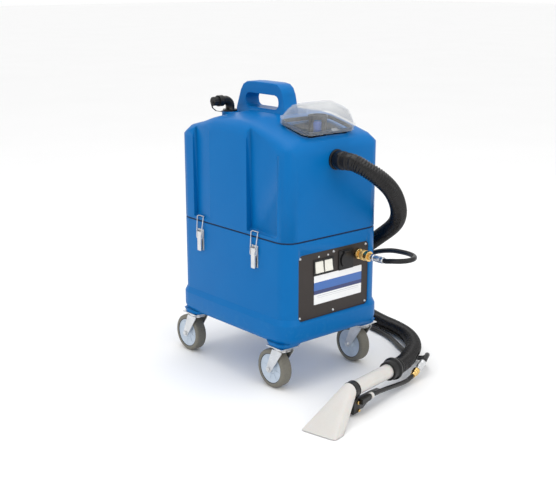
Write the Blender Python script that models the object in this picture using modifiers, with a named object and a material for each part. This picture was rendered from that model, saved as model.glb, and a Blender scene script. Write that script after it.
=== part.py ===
"""Carpet cleaner machine on four swivel casters, with its hose and upholstery hand tool.

Metres, +Z up. The front, with the control panel, faces -Y. The origin is on the floor, under the middle of
everything that belongs to the machine: its body and the hand tool in front of it.
"""

import math

import bmesh
import bpy
from mathutils import Matrix, Vector

# ---------------------------------------------------------------- driving dimensions
GAP = 0.0003
WHEEL_RADIUS = 0.050
WHEEL_WIDTH = 0.031
BODY_WIDTH = 0.320
BODY_DEPTH = 0.430
BODY_CORNER = 0.0375
BODY_BOTTOM = 0.124
BOSS_BOTTOM = 0.118
SEAM = 0.381
SEAM_GROOVE = 0.004
WALL = 0.006
TANK_WALL = 0.005
TANK_TOP = 0.668
HANDLE_TOP = 0.740
HANDLE_THICKNESS = 0.045
SWIVEL_X = 0.1385
SWIVEL_Y = 0.177
TRAIL = 0.030
PANEL_WIDTH = 0.240
PANEL_BOTTOM = 0.181
PANEL_TOP = 0.349
PANEL_FACE = -0.2129
VACUUM_HOSE = 0.042
SOLUTION_HOSE = 0.0127
TUBE_RADIUS = 0.018
GLAND_X = 0.080
GLAND_Z = 0.235

# The machine is drawn about its own middle, and everything is then moved so that the whole model's box is
# centred on the origin.
SHIFT = Vector((0.0468, 0.1091, 0.0))

FRONT = -BODY_DEPTH / 2
SIDE = BODY_WIDTH / 2
TANK_BOTTOM = SEAM + SEAM_GROOVE
HALF_TURN = math.pi
QUARTER_TURN = math.pi / 2

# ---------------------------------------------------------------- collections and materials
for old in list(bpy.data.objects):
    bpy.data.objects.remove(old)

PARTS = bpy.data.collections.new("carpet_cleaner_machine")
CUTTERS = bpy.data.collections.new("cutters")
bpy.context.scene.collection.children.link(PARTS)
bpy.context.scene.collection.children.link(CUTTERS)
CUTTERS.hide_render = True


def material(name, colour, roughness, metallic=0.0):
    made = bpy.data.materials.new(name)
    made.use_nodes = True
    shader = made.node_tree.nodes["Principled BSDF"]
    shader.inputs["Base Color"].default_value = (*colour, 1.0)
    shader.inputs["Roughness"].default_value = roughness
    shader.inputs["Metallic"].default_value = metallic
    return made


BLUE = material("moulded_blue", (0.005, 0.15, 0.46), 0.38)
CLEAR = material("clear_lid", (0.75, 0.78, 0.80), 0.08)
PANEL_BLACK = material("panel_black", (0.035, 0.028, 0.026), 0.55)
BLACK = material("black_plastic", (0.015, 0.015, 0.016), 0.45)
HOSE_BLACK = material("hose_black", (0.02, 0.018, 0.019), 0.42)
WHITE = material("white_plastic", (0.82, 0.82, 0.80), 0.35)
SWITCH = material("switch_cream", (0.80, 0.78, 0.70), 0.35)
GREY = material("grey_plastic", (0.10, 0.10, 0.105), 0.5)
HUB = material("caster_wheel", (0.55, 0.55, 0.57), 0.5)
ZINC = material("zinc_steel", (0.62, 0.63, 0.64), 0.3, 1.0)
BRASS = material("brass", (0.72, 0.47, 0.16), 0.28, 1.0)
RUBBER = material("seal_rubber", (0.02, 0.02, 0.02), 0.7)
FLOAT_BLUE = material("float_blue", (0.01, 0.10, 0.50), 0.4)


# ---------------------------------------------------------------- helpers
def link(obj, finish=None, collection=PARTS):
    for owner in list(obj.users_collection):
        owner.objects.unlink(obj)
    collection.objects.link(obj)
    if finish:
        obj.data.materials.clear()
        obj.data.materials.append(finish)
    return obj


def as_cutter(obj):
    link(obj, collection=CUTTERS)
    obj.hide_render = True
    obj.display_type = "WIRE"
    return obj


def from_bmesh(name, shape, finish=None):
    mesh = bpy.data.meshes.new(name)
    bmesh.ops.recalc_face_normals(shape, faces=shape.faces)
    shape.to_mesh(mesh)
    shape.free()
    return link(bpy.data.objects.new(name, mesh), finish)


def smooth(obj, angle=35):
    obj.data.shade_smooth()
    obj.data.set_sharp_from_angle(angle=math.radians(angle))
    return obj


def box(name, low, high, finish=None, bevel=0.0, segments=2):
    """A box between two corners, with its edges rounded by bevel."""
    low, high = Vector(low), Vector(high)
    shape = bmesh.new()
    bmesh.ops.create_cube(shape, size=1.0)
    size = high - low
    bmesh.ops.transform(shape, verts=shape.verts, matrix=Matrix.Diagonal((*size, 1.0)))
    if bevel:
        bmesh.ops.bevel(shape, geom=shape.edges, offset=bevel, segments=segments, affect="EDGES", profile=0.5)
    obj = from_bmesh(name, shape, finish)
    obj.location = (low + high) / 2
    return smooth(obj)


def rod(name, radius, start, end, finish=None, sides=20):
    """A solid round bar between two points."""
    start, end = Vector(start), Vector(end)
    shape = bmesh.new()
    bmesh.ops.create_cone(
        shape, cap_ends=True, segments=sides, radius1=radius, radius2=radius, depth=(end - start).length
    )
    obj = from_bmesh(name, shape, finish)
    obj.location = (start + end) / 2
    obj.rotation_mode = "QUATERNION"
    obj.rotation_quaternion = (end - start).to_track_quat("Z", "Y")
    return smooth(obj)


def turned(name, profile, finish=None, steps=24, closed=False):
    """A profile of (radius, height) points, outer side first from top to bottom, turned about the local Z axis."""
    mesh = bpy.data.meshes.new(name)
    count = len(profile)
    edges = [(i, i + 1) for i in range(count - 1)]
    if closed:
        edges.append((count - 1, 0))
    mesh.from_pydata([(radius, 0.0, height) for radius, height in profile], edges, [])
    obj = link(bpy.data.objects.new(name, mesh), finish)
    screw = obj.modifiers.new("turn", "SCREW")
    screw.axis = "Z"
    screw.steps = steps
    screw.render_steps = steps
    screw.use_merge_vertices = True
    screw.merge_threshold = 0.00001
    screw.use_smooth_shade = True
    return obj


def aim(obj, place, direction):
    """Puts the object's origin at place, with its local Z along direction."""
    obj.location = place
    obj.rotation_mode = "QUATERNION"
    obj.rotation_quaternion = Vector(direction).to_track_quat("Z", "Y")
    return obj


def baked(obj, name=None):
    """The object as a plain mesh with its modifiers and placing applied and its doubles merged."""
    bpy.context.view_layer.update()
    graph = bpy.context.evaluated_depsgraph_get()
    mesh = bpy.data.meshes.new_from_object(obj.evaluated_get(graph))
    mesh.transform(obj.matrix_world)
    shape = bmesh.new()
    shape.from_mesh(mesh)
    bmesh.ops.remove_doubles(shape, verts=shape.verts, dist=0.00001)
    bmesh.ops.recalc_face_normals(shape, faces=shape.faces)
    shape.to_mesh(mesh)
    shape.free()
    made = bpy.data.objects.new(name or obj.name, mesh)
    collection = obj.users_collection[0]
    old_name = obj.name
    bpy.data.objects.remove(obj)
    made.name = name or old_name
    collection.objects.link(made)
    return made


def outline(name, loops, thickness, finish=None):
    """Closed flat loops of (x, y) points, the later ones cut out of the first, as a plate centred on local z = 0."""
    curve = bpy.data.curves.new(name, "CURVE")
    curve.dimensions = "2D"
    curve.fill_mode = "BOTH"
    curve.extrude = thickness / 2
    for loop in loops:
        spline = curve.splines.new("POLY")
        spline.points.add(len(loop) - 1)
        for point, (x, y) in zip(spline.points, loop):
            point.co = (x, y, 0.0, 1.0)
        spline.use_cyclic_u = True
    return link(bpy.data.objects.new(name, curve), finish)


def upright(obj, place):
    """Turns a flat outline to face -Y: its x stays X and its y becomes Z."""
    obj.location = place
    obj.rotation_euler = (QUARTER_TURN, 0.0, 0.0)
    return obj


def sideways(obj, place):
    """Turns a flat outline to face +X: its x becomes Y and its y becomes Z."""
    obj.location = place
    obj.rotation_euler = (QUARTER_TURN, 0.0, QUARTER_TURN)
    return obj


def rounded(width, height, radius, steps=5, centre=(0.0, 0.0)):
    """The outline of a rectangle with round corners, anticlockwise."""
    points = []
    for corner, (sx, sy) in enumerate(((1, 1), (-1, 1), (-1, -1), (1, -1))):
        for step in range(steps + 1):
            angle = QUARTER_TURN * (corner + step / steps)
            x = centre[0] + sx * (width / 2 - radius) + radius * math.cos(angle)
            y = centre[1] + sy * (height / 2 - radius) + radius * math.sin(angle)
            points.append((x, y))
    return points


def loft(name, sections, finish=None):
    """A closed solid through sections that all have the same number of points, capped at both ends."""
    shape = bmesh.new()
    rings = [[shape.verts.new(point) for point in section] for section in sections]
    count = len(rings[0])
    for lower, upper in zip(rings, rings[1:]):
        for i in range(count):
            j = (i + 1) % count
            shape.faces.new((lower[i], lower[j], upper[j], upper[i]))
    shape.faces.new(rings[0])
    shape.faces.new(rings[-1])
    bmesh.ops.triangulate(shape, faces=[face for face in shape.faces if len(face.verts) > 4])
    return from_bmesh(name, shape, finish)


def boolean(obj, tool, operation="DIFFERENCE"):
    """Cuts or joins a tool, which then stays among the cutters."""
    step = obj.modifiers.new(operation.lower(), "BOOLEAN")
    step.operation = operation
    step.solver = "EXACT"
    step.object = as_cutter(tool)
    return obj


def catmull(a, b, c, d, t):
    """The point at t between b and c on a smooth curve through four points."""
    return 0.5 * (
        2 * b + (c - a) * t + (2 * a - 5 * b + 4 * c - d) * t * t + (3 * b - a - 3 * c + d) * t * t * t
    )


def smooth_path(route, spacing):
    """Points an even distance apart on a smooth curve through the route's points."""
    points = [Vector(point) for point in route]
    ends = [2 * points[0] - points[1], *points, 2 * points[-1] - points[-2]]
    fine = []
    for i in range(len(points) - 1):
        fine += [catmull(*ends[i : i + 4], step / 24) for step in range(24)]
    fine.append(points[-1])
    reach = [0.0]
    for before, after in zip(fine, fine[1:]):
        reach.append(reach[-1] + (after - before).length)
    count = max(2, round(reach[-1] / spacing))
    path, at = [], 0
    for step in range(count + 1):
        goal = reach[-1] * step / count
        while at < len(fine) - 2 and reach[at + 1] < goal:
            at += 1
        share = (goal - reach[at]) / (reach[at + 1] - reach[at])
        path.append(fine[at].lerp(fine[at + 1], min(1.0, share)))
    return path


def tube(name, path, radius, finish=None, resolution=2):
    """A round bar along a path, with filled ends."""
    curve = bpy.data.curves.new(name, "CURVE")
    curve.dimensions = "3D"
    curve.bevel_depth = radius
    curve.bevel_resolution = resolution
    curve.use_fill_caps = True
    spline = curve.splines.new("POLY")
    spline.points.add(len(path) - 1)
    for point, place in zip(spline.points, path):
        point.co = (*place, 1.0)
        point.radius = 1.0
    return link(bpy.data.objects.new(name, curve), finish)


def pivot(name, place):
    """An empty on a joint's axis, which carries the pieces that turn or slide there."""
    empty = bpy.data.objects.new(name, None)
    empty.empty_display_size = 0.02
    empty.location = place
    PARTS.objects.link(empty)
    return empty


def hang(obj, parent):
    """Makes obj follow parent, and leaves it where it is."""
    bpy.context.view_layer.update()
    world = obj.matrix_world.copy()
    obj.parent = parent
    obj.matrix_parent_inverse = parent.matrix_world.inverted()
    obj.matrix_world = world
    return obj


# ---------------------------------------------------------------- lower body
def body_section(height, grow):
    """The body's round-cornered outline at one height, grown outwards by grow."""
    shape = rounded(BODY_WIDTH + 2 * grow, BODY_DEPTH + 2 * grow, BODY_CORNER + grow, 4)
    return [(x, y, height) for x, y in shape]


PLINTH = ((0.0, -0.006), (0.006, 0.003), (0.018, 0.007), (0.052, 0.007), (0.066, 0.0))


def make_base_housing():
    """The moulded lower body: a plinth that swells out, straight walls, four foot bosses and the panel's pocket."""
    sections = [body_section(BODY_BOTTOM + height, grow) for height, grow in PLINTH]
    sections.append(body_section(SEAM, 0.0))
    housing = loft("base_housing", sections, BLUE)
    hollow = [body_section(BODY_BOTTOM + WALL, -0.016), body_section(BODY_BOTTOM + 0.016, -WALL)]
    hollow.append(body_section(SEAM + 0.010, -WALL))
    boolean(housing, loft("housing_hollow", hollow))
    for sx in (-1, 1):
        for sy in (-1, 1):
            centre = (sx * (SWIVEL_X - 0.008), sy * (SWIVEL_Y - 0.004))
            low, high = BOSS_BOTTOM, BODY_BOTTOM + 0.004
            rings = [
                [(x, y, z) for x, y in rounded(size, size, 0.02, 2, centre)]
                for z, size in ((low, 0.068), (high, 0.074))
            ]
            boolean(housing, loft("boss", rings), "UNION")
    middle = (PANEL_BOTTOM + PANEL_TOP) / 2
    height = PANEL_TOP - PANEL_BOTTOM
    pocket = outline("pocket", [rounded(PANEL_WIDTH + 0.0016, height + 0.0016, 0.0128)], 0.020)
    boolean(housing, baked(upright(pocket, (0.0, FRONT + 0.0048 - 0.010, middle))))
    window = outline("window", [rounded(PANEL_WIDTH - 0.020, height - 0.020, 0.008)], 0.030)
    boolean(housing, baked(upright(window, (0.0, FRONT, middle))))
    gland_hole = rod(
        "gland_hole", 0.0113, (GLAND_X, -FRONT - 0.02, GLAND_Z), (GLAND_X, -FRONT + 0.02, GLAND_Z), sides=16,
    )
    boolean(housing, gland_hole)
    return smooth(housing)


def make_chassis():
    """The plate that stiffens the floor of the lower body and carries the motor and the pump."""
    floor = BODY_BOTTOM + WALL + GAP
    plate = outline("chassis_plate", [rounded(0.270, 0.380, 0.020, 3)], 0.003, ZINC)
    plate.location = (0.0, 0.0, floor + 0.0015)
    return floor + 0.003 + GAP


def make_vacuum_motor(deck):
    """The suction motor: a two-stage fan casing with the motor's can on top."""
    profile = [
        (0.0, 0.150), (0.022, 0.150), (0.030, 0.142), (0.042, 0.138), (0.045, 0.128), (0.045, 0.072),
        (0.068, 0.066), (0.072, 0.060), (0.072, 0.006), (0.068, 0.0), (0.0, 0.0),
    ]
    motor = turned("vacuum_motor", profile, ZINC, steps=16)
    motor.location = (0.0, 0.085, deck)


def make_pump(deck):
    """The solution pump: a round motor lying on a foot, with its square head in front."""
    middle = deck + 0.038
    pump = rod("solution_pump", 0.030, (-0.05, -0.085, middle), (0.045, -0.085, middle), GREY, 16)
    boolean(
        pump,
        box("pump_head", (0.040, -0.117, deck + 0.006), (0.078, -0.053, deck + 0.070), bevel=0.004, segments=1),
        "UNION",
    )
    boolean(pump, box("pump_foot", (-0.045, -0.110, deck), (0.030, -0.060, deck + 0.020)), "UNION")


def make_gasket():
    """The rubber seal in the groove between the tank and the lower body."""
    seal = outline("seam_gasket", [
        rounded(BODY_WIDTH - 0.003, BODY_DEPTH - 0.003, BODY_CORNER - 0.0015, 4),
        rounded(BODY_WIDTH - 0.011, BODY_DEPTH - 0.011, BODY_CORNER - 0.0055, 4),
    ], SEAM_GROOVE - 2 * GAP, RUBBER)
    seal.location = (0.0, 0.0, SEAM + SEAM_GROOVE / 2)


# ---------------------------------------------------------------- tank
TOP_LINE = (
    (0.215, 0.600), (0.208, 0.621), (0.185, 0.6365), (0.140, 0.648), (0.100, 0.6615), (0.070, TANK_TOP),
    (-0.020, TANK_TOP), (-0.055, 0.664), (-0.120, 0.6488), (-0.185, 0.632), (-0.206, 0.620), (-0.215, 0.598),
)
SIDE_ROUND = 0.030
CROWN = 0.012


def crown_drop(x, half_width):
    """How far the top sits below its middle line at x: a gentle crown, and a round shoulder at each side."""
    share = abs(x) / half_width
    drop = CROWN * share * share
    inside = abs(x) - (half_width - SIDE_ROUND)
    if inside > 0:
        drop += SIDE_ROUND - math.sqrt(max(0.0, SIDE_ROUND**2 - inside**2))
    return drop


def tank_solid(name, inset, bottom, finish=None):
    """The tank's outer form, or its hollow when inset: the top line carried across the width with its crown."""
    half = SIDE - inset
    columns = [half * math.sin(QUARTER_TURN * step / 6) for step in range(-6, 7)]
    columns = sorted(set([*columns, -half + SIDE_ROUND, half - SIDE_ROUND]))
    sections = []
    for x in columns:
        drop = crown_drop(x, half)
        ring = [(x, y * (1 - inset / SIDE), z - inset - drop) for y, z in TOP_LINE]
        ring += [(x, FRONT * (1 - inset / SIDE), bottom), (x, -FRONT * (1 - inset / SIDE), bottom)]
        sections.append(ring)
    solid = loft(name, sections, finish)
    corners = outline(name + "_plan", [
        rounded(BODY_WIDTH - 2 * inset, BODY_DEPTH - 2 * inset, BODY_CORNER - inset, 4)
    ], 0.5)
    corners.location = (0.0, 0.0, 0.55)
    boolean(solid, baked(corners), "INTERSECT")
    return solid


RECESSES = {"rear": (0.152, 0.084, 0.0125), "front": (-0.066, -0.180, 0.0155)}


def recess_cutter(name, side, deep_y, shallow_y, depth, ledge, skin):
    """A wedge that is deepest at deep_y and runs out flush at shallow_y, from the ledge up through the top."""
    face = side * (SIDE + 0.004)
    deep = side * (SIDE - depth - skin)
    shallow = side * (SIDE - 0.0008 - skin)
    lean = 0.0015
    sections = []
    for z, out in ((ledge - skin, lean), (ledge - skin + 0.008, 0.0), (0.75, 0.0)):
        grow = skin if deep_y > shallow_y else -skin
        sections.append([
            (face, deep_y + grow, z), (deep + side * out, deep_y + grow, z),
            (shallow + side * min(out, 0.002), shallow_y - grow, z), (face, shallow_y - grow, z),
        ])
    return loft(name, sections)


def make_handle():
    """The carrying handle, moulded on the tank along its middle line, with a through opening for the hand."""
    profile = [
        (0.146, 0.640), (0.141, 0.670), (0.124, 0.715), (0.113, 0.731), (0.098, 0.7385),
        (0.070, HANDLE_TOP), (-0.005, HANDLE_TOP), (-0.022, 0.7375), (-0.034, 0.729), (-0.043, 0.712),
        (-0.060, 0.640),
    ]
    handle = outline("handle_form", [profile], HANDLE_THICKNESS)
    handle = baked(sideways(handle, (0.0, 0.0, 0.0)))
    bevel = handle.modifiers.new("round", "BEVEL")
    bevel.width = 0.008
    bevel.segments = 2
    bevel.limit_method = "ANGLE"
    bevel.angle_limit = math.radians(50)
    return baked(handle)


def make_tank():
    """The upper tank: crowned top, wedge recesses at the latches, handle, filling neck and the hose's hole."""
    tank = tank_solid("tank", 0.0, TANK_BOTTOM, BLUE)
    hollow = tank_solid("tank_hollow", TANK_WALL, TANK_BOTTOM + TANK_WALL)
    for where, (deep_y, shallow_y, depth) in RECESSES.items():
        for side in (-1, 1):
            wedge = recess_cutter(f"recess_{where}_{side}", side, deep_y, shallow_y, depth, 0.393, 0.0)
            boolean(tank, wedge)
            wall = recess_cutter(f"wall_{where}_{side}", side, deep_y, shallow_y, depth, 0.393, TANK_WALL)
            boolean(hollow, wall)
    boolean(tank, make_handle(), "UNION")
    seat = rod("elbow_seat", 0.0215, (ELBOW_X, ELBOW_Y, 0.640), (ELBOW_X, ELBOW_Y, ELBOW_SEAT), sides=16)
    boolean(tank, seat, "UNION")
    grip = outline("grip_hole", [rounded(0.130, 0.036, 0.015, 3, (0.038, 0.6925))], 0.12)
    boolean(tank, baked(sideways(grip, (0.0, 0.0, 0.0))))
    boolean(tank, baked(hollow))
    neck = outline("neck", [rounded(0.154, 0.094, 0.022, 3)], 0.060)
    neck.location = LID_CENTRE + LID_NORMAL * 0.010
    neck.rotation_euler = (LID_TILT, 0.0, 0.0)
    boolean(tank, baked(neck))
    boolean(
        tank, rod("port_hole", 0.0206, (0.0, FRONT - 0.01, PORT_Z), (0.0, FRONT + 0.03, PORT_Z), sides=20),
    )
    boolean(tank, rod("elbow_hole", 0.0123, (ELBOW_X, ELBOW_Y, 0.60), (ELBOW_X, ELBOW_Y, 0.70), sides=12))
    return smooth(tank)


# ---------------------------------------------------------------- lid, float and hose port
LID_TILT = math.atan(0.235)
LID_CENTRE = Vector((0.0, -0.1455, 0.6425))
LID_NORMAL = Vector((0.0, -math.sin(LID_TILT), math.cos(LID_TILT)))
LID_WIDTH = 0.174
LID_DEPTH = 0.114
PORT_Z = 0.5725
ELBOW_X = -0.055
ELBOW_Y = 0.128
ELBOW_SEAT = 0.6610
ELBOW_BEND = 0.016
ELBOW_TOP = 0.690


def lid_ring(shrink, height, radius):
    """The lid's outline, shrunk by shrink on every side, at a height above its seat."""
    turn = Matrix.Rotation(LID_TILT, 4, "X")
    points = rounded(LID_WIDTH - 2 * shrink, LID_DEPTH - 2 * shrink, radius, 3)
    return [tuple(LID_CENTRE + turn @ Vector((x, y, height))) for x, y in points]


def make_lid(hinge):
    """The clear lid: a skirt, a bead round the rim and a pillow-shaped dome, hollow underneath."""
    outer = [
        lid_ring(0.0020, 0.0040, 0.020), lid_ring(0.0012, 0.0150, 0.021), lid_ring(0.0, 0.0160, 0.022),
        lid_ring(0.0, 0.0190, 0.022), lid_ring(0.0035, 0.0200, 0.020), lid_ring(0.0120, 0.0400, 0.018),
        lid_ring(0.0190, 0.0510, 0.016), lid_ring(0.0290, 0.0570, 0.013), lid_ring(0.0420, 0.0590, 0.010),
    ]
    inner = [
        lid_ring(0.0042, 0.0000, 0.018), lid_ring(0.0042, 0.0165, 0.018), lid_ring(0.0064, 0.0200, 0.0170),
        lid_ring(0.0148, 0.0390, 0.0150), lid_ring(0.0215, 0.0490, 0.0135), lid_ring(0.0310, 0.0545, 0.011),
        lid_ring(0.0430, 0.0562, 0.009),
    ]
    lid = loft("lid", outer, CLEAR)
    boolean(lid, loft("lid_hollow", inner))
    hang(lid, hinge)
    return smooth(lid)


def make_lid_seal():
    """The rubber strip that the lid's skirt closes on, round the filling neck."""
    seal = outline(
        "lid_seal", [rounded(0.1640, 0.1040, 0.0200, 3), rounded(0.1556, 0.0956, 0.0225, 3)], 0.0085, RUBBER,
    )
    seal.location = LID_CENTRE + LID_NORMAL * 0.0062
    seal.rotation_euler = (LID_TILT, 0.0, 0.0)


def make_float():
    """The suction standpipe with a cage on top, and the blue float that rises in it and shuts it off when full."""
    cage_x, cage_y, bottom = 0.012, -0.135, 0.612
    foot = TANK_BOTTOM + TANK_WALL + GAP - bottom
    cage = turned("float_cage", [
        (0.0245, 0.060), (0.0245, 0.0), (0.0160, -0.004), (0.0160, foot), (0.0135, foot), (0.0135, 0.003),
        (0.0215, 0.003), (0.0215, 0.060),
    ], BLACK, steps=16, closed=True)
    cage.location = (cage_x, cage_y, bottom)
    for turn in range(2):
        slot = box(f"cage_slot_{turn}", (-0.04, -0.010, -0.020), (0.04, 0.010, 0.020))
        slot.rotation_euler = (0.0, 0.0, turn * QUARTER_TURN + QUARTER_TURN / 2)
        slot.location = (cage_x, cage_y, bottom + 0.030)
        boolean(cage, baked(slot))
    ball = turned("float_ball", [
        (0.020 * math.sin(HALF_TURN * step / 8), 0.020 * math.cos(HALF_TURN * step / 8)) for step in range(9)
    ], FLOAT_BLUE, steps=14)
    ball.location = (cage_x, cage_y, bottom + 0.003 + GAP + 0.020)


def make_hose_port():
    """The black port in the tank's front wall, and the cuff of the hose pushed on its outside."""
    port = turned("hose_port", [
        (0.0255, 0.0045), (0.0255, GAP), (0.0202, GAP), (0.0202, -0.022), (0.0172, -0.022), (0.0172, 0.0045),
    ], BLACK, steps=20, closed=True)
    aim(port, (0.0, FRONT, PORT_Z), (0.0, -1.0, 0.0))
    cuff = turned("hose_cuff", [
        (0.0, 0.0465), (0.0205, 0.0465), (0.0215, 0.0455), (0.0215, 0.030), (0.0225, 0.0285),
        (0.0230, 0.0060), (0.0225, 0.0048), (0.0, 0.0048),
    ], HOSE_BLACK, steps=20)
    aim(cuff, (0.0, FRONT, PORT_Z), (0.0, -1.0, 0.0))


def make_elbow():
    """The black drain elbow on the tank's rear shoulder, which turns level towards the side, and its knurled cap."""
    path = [(ELBOW_X, ELBOW_Y, 0.628), (ELBOW_X, ELBOW_Y, 0.655)]
    for step in range(7):
        angle = QUARTER_TURN * step / 6
        path.append((
            ELBOW_X - ELBOW_BEND * (1 - math.cos(angle)), ELBOW_Y,
            ELBOW_TOP - ELBOW_BEND + ELBOW_BEND * math.sin(angle),
        ))
    path.append((ELBOW_X - 0.034, ELBOW_Y, ELBOW_TOP))
    elbow = baked(tube("drain_elbow", path, 0.0118, BLACK, resolution=3))
    link(elbow, BLACK)
    seat_top = ELBOW_SEAT + GAP
    flange = rod(
        "elbow_flange", 0.019, (ELBOW_X, ELBOW_Y, seat_top), (ELBOW_X, ELBOW_Y, seat_top + 0.005), sides=16,
    )
    boolean(elbow, flange, "UNION")
    collar = rod(
        "elbow_collar", 0.0145, (ELBOW_X - 0.026, ELBOW_Y, ELBOW_TOP), (ELBOW_X - 0.040, ELBOW_Y, ELBOW_TOP),
    )
    boolean(elbow, collar, "UNION")
    smooth(elbow)
    knurls = 12
    ring = []
    for step in range(knurls * 2):
        angle = HALF_TURN * step / knurls
        radius = 0.0105 if step % 2 else 0.0117
        ring.append((radius * math.cos(angle), radius * math.sin(angle)))
    cap = outline("drain_cap", [ring], 0.016, BLACK)
    sideways(cap, (ELBOW_X - 0.040 - GAP - 0.008, ELBOW_Y, ELBOW_TOP))


# ---------------------------------------------------------------- latches
LATCH_PLACES = {"rear": 0.122, "front": -0.099}
LATCH_PIVOT_Z = 0.352
BAIL_PIVOT_Z = 0.338
BAIL_WIRE = 0.0016


def make_latch(name, side, y):
    """A toggle latch on the body's side: its plate, its lever and the wire bail that pulls down on the tank's ledge."""
    wall = side * (SIDE + GAP)

    def at(out, dy, z):
        return (wall + side * out, y + dy, z)

    def block(label, low, high, finish=None, bevel=0.0):
        a, b = Vector(at(*low)), Vector(at(*high))
        return box(label, tuple(map(min, a, b)), tuple(map(max, a, b)), finish, bevel, 1)

    plate = block(f"latch_plate_{name}", (0.0, -0.0115, 0.306), (0.0014, 0.0115, 0.362), ZINC)
    for dy in (-0.0092, 0.0080):
        boolean(plate, block("ear", (0.0005, dy, 0.3465), (0.0090, dy + 0.0012, 0.3580)), "UNION")
    pin_out = 0.0062
    boolean(
        plate,
        rod("pin", 0.0012, at(pin_out, -0.0098, LATCH_PIVOT_Z), at(pin_out, 0.0098, LATCH_PIVOT_Z), sides=8),
        "UNION",
    )
    lever_pivot = pivot(f"lever_pivot_{name}", at(pin_out, 0.0, LATCH_PIVOT_Z))
    lever = block(f"latch_lever_{name}", (0.0032, -0.0072, 0.304), (0.0092, 0.0072, 0.3560), ZINC, 0.0012)
    bore = rod("bore", 0.0016, at(pin_out, -0.02, LATCH_PIVOT_Z), at(pin_out, 0.02, LATCH_PIVOT_Z), sides=8)
    boolean(lever, bore)
    hang(lever, lever_pivot)
    bail_pivot = pivot(f"bail_pivot_{name}", at(0.0065, 0.0, BAIL_PIVOT_Z))
    hang(bail_pivot, lever_pivot)
    leg, top, out = 0.0118, 0.3968, 0.0065
    shape = [
        at(out, -0.0077, BAIL_PIVOT_Z), at(out, -leg + 0.001, BAIL_PIVOT_Z), at(
            out, -leg, BAIL_PIVOT_Z + 0.003,
        ),
        at(0.0058, -leg + 0.001, 0.366), at(0.0024, -leg - 0.001, 0.3945), at(-0.0012, -leg + 0.001, top),
        at(-0.0012, leg - 0.001, top), at(0.0024, leg + 0.001, 0.3945), at(0.0058, leg - 0.001, 0.366),
        at(out, leg, BAIL_PIVOT_Z + 0.003), at(out, leg - 0.001, BAIL_PIVOT_Z), at(out, 0.0077, BAIL_PIVOT_Z),
    ]
    bail = tube(f"latch_bail_{name}", shape, BAIL_WIRE, ZINC, resolution=1)
    hang(bail, bail_pivot)


# ---------------------------------------------------------------- control panel
def make_panel():
    """The dark front plate, with its openings for the switches, the socket and the coupler."""
    middle = (PANEL_BOTTOM + PANEL_TOP) / 2
    height = PANEL_TOP - PANEL_BOTTOM

    def hole(width, tall, radius, x, z):
        return rounded(width, tall, radius, 4, (x, z - middle))

    plate = outline("control_panel", [
        rounded(PANEL_WIDTH, height, 0.012, 5),
        hole(0.0646, 0.0366, 0.001, SWITCHES_X, SWITCHES_Z),
        hole(0.0446, 0.0446, 0.0222, SOCKET_X, SOCKET_Z),
        hole(0.0170, 0.0170, 0.0084, COUPLER_X, COUPLER_Z),
    ], 0.0025, PANEL_BLACK)
    upright(plate, (0.0, PANEL_FACE + 0.00125, middle))


SWITCHES_X, SWITCHES_Z = -0.0366, 0.3105
ROCKER_PITCH = 0.0312
ROCKER_WIDTH, ROCKER_HEIGHT = 0.0262, 0.0300
SOCKET_X, SOCKET_Z = 0.0400, 0.3140
COUPLER_X, COUPLER_Z = 0.0820, 0.3215


def make_switches():
    """The switches' shared black frame with two wells, and a cream rocker in each well."""
    front = PANEL_FACE - GAP
    frame = box(
        "switch_frame",
        (SWITCHES_X - 0.034, front - 0.0022, SWITCHES_Z - 0.020),
        (SWITCHES_X + 0.034, front, SWITCHES_Z + 0.020), BLACK, 0.0010, 1,
    )
    boolean(frame, box(
        "switch_case",
        (SWITCHES_X - 0.032, front - 0.001, SWITCHES_Z - 0.018),
        (SWITCHES_X + 0.032, front + 0.024, SWITCHES_Z + 0.018),
    ), "UNION")
    for index in (-1, 1):
        x = SWITCHES_X + index * ROCKER_PITCH / 2
        half_w, half_h = ROCKER_WIDTH / 2 + 0.0005, ROCKER_HEIGHT / 2 + 0.0008
        well = box(
            f"well_{index}", (x - half_w, front - 0.01, SWITCHES_Z - half_h),
            (x + half_w, front + 0.012, SWITCHES_Z + half_h),
        )
        boolean(frame, well)
        name = "rocker_left" if index < 0 else "rocker_right"
        depth = front + 0.0015
        shape = [
            (-0.0142, 0.0030), (-0.0142, -0.0062), (-0.0132, -0.0070), (0.0, -0.0042), (0.0132, -0.0030),
            (0.0142, -0.0022), (0.0142, 0.0030), (0.0, 0.0062),
        ]
        rocker = loft(name, [
            [(x + dx, depth + dy, SWITCHES_Z + dz) for dz, dy in shape] for dx in (
                -ROCKER_WIDTH / 2, ROCKER_WIDTH / 2,
            )
        ], SWITCH)
        hang(rocker, pivot(f"pivot_{name}", (x, depth, SWITCHES_Z)))


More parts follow.
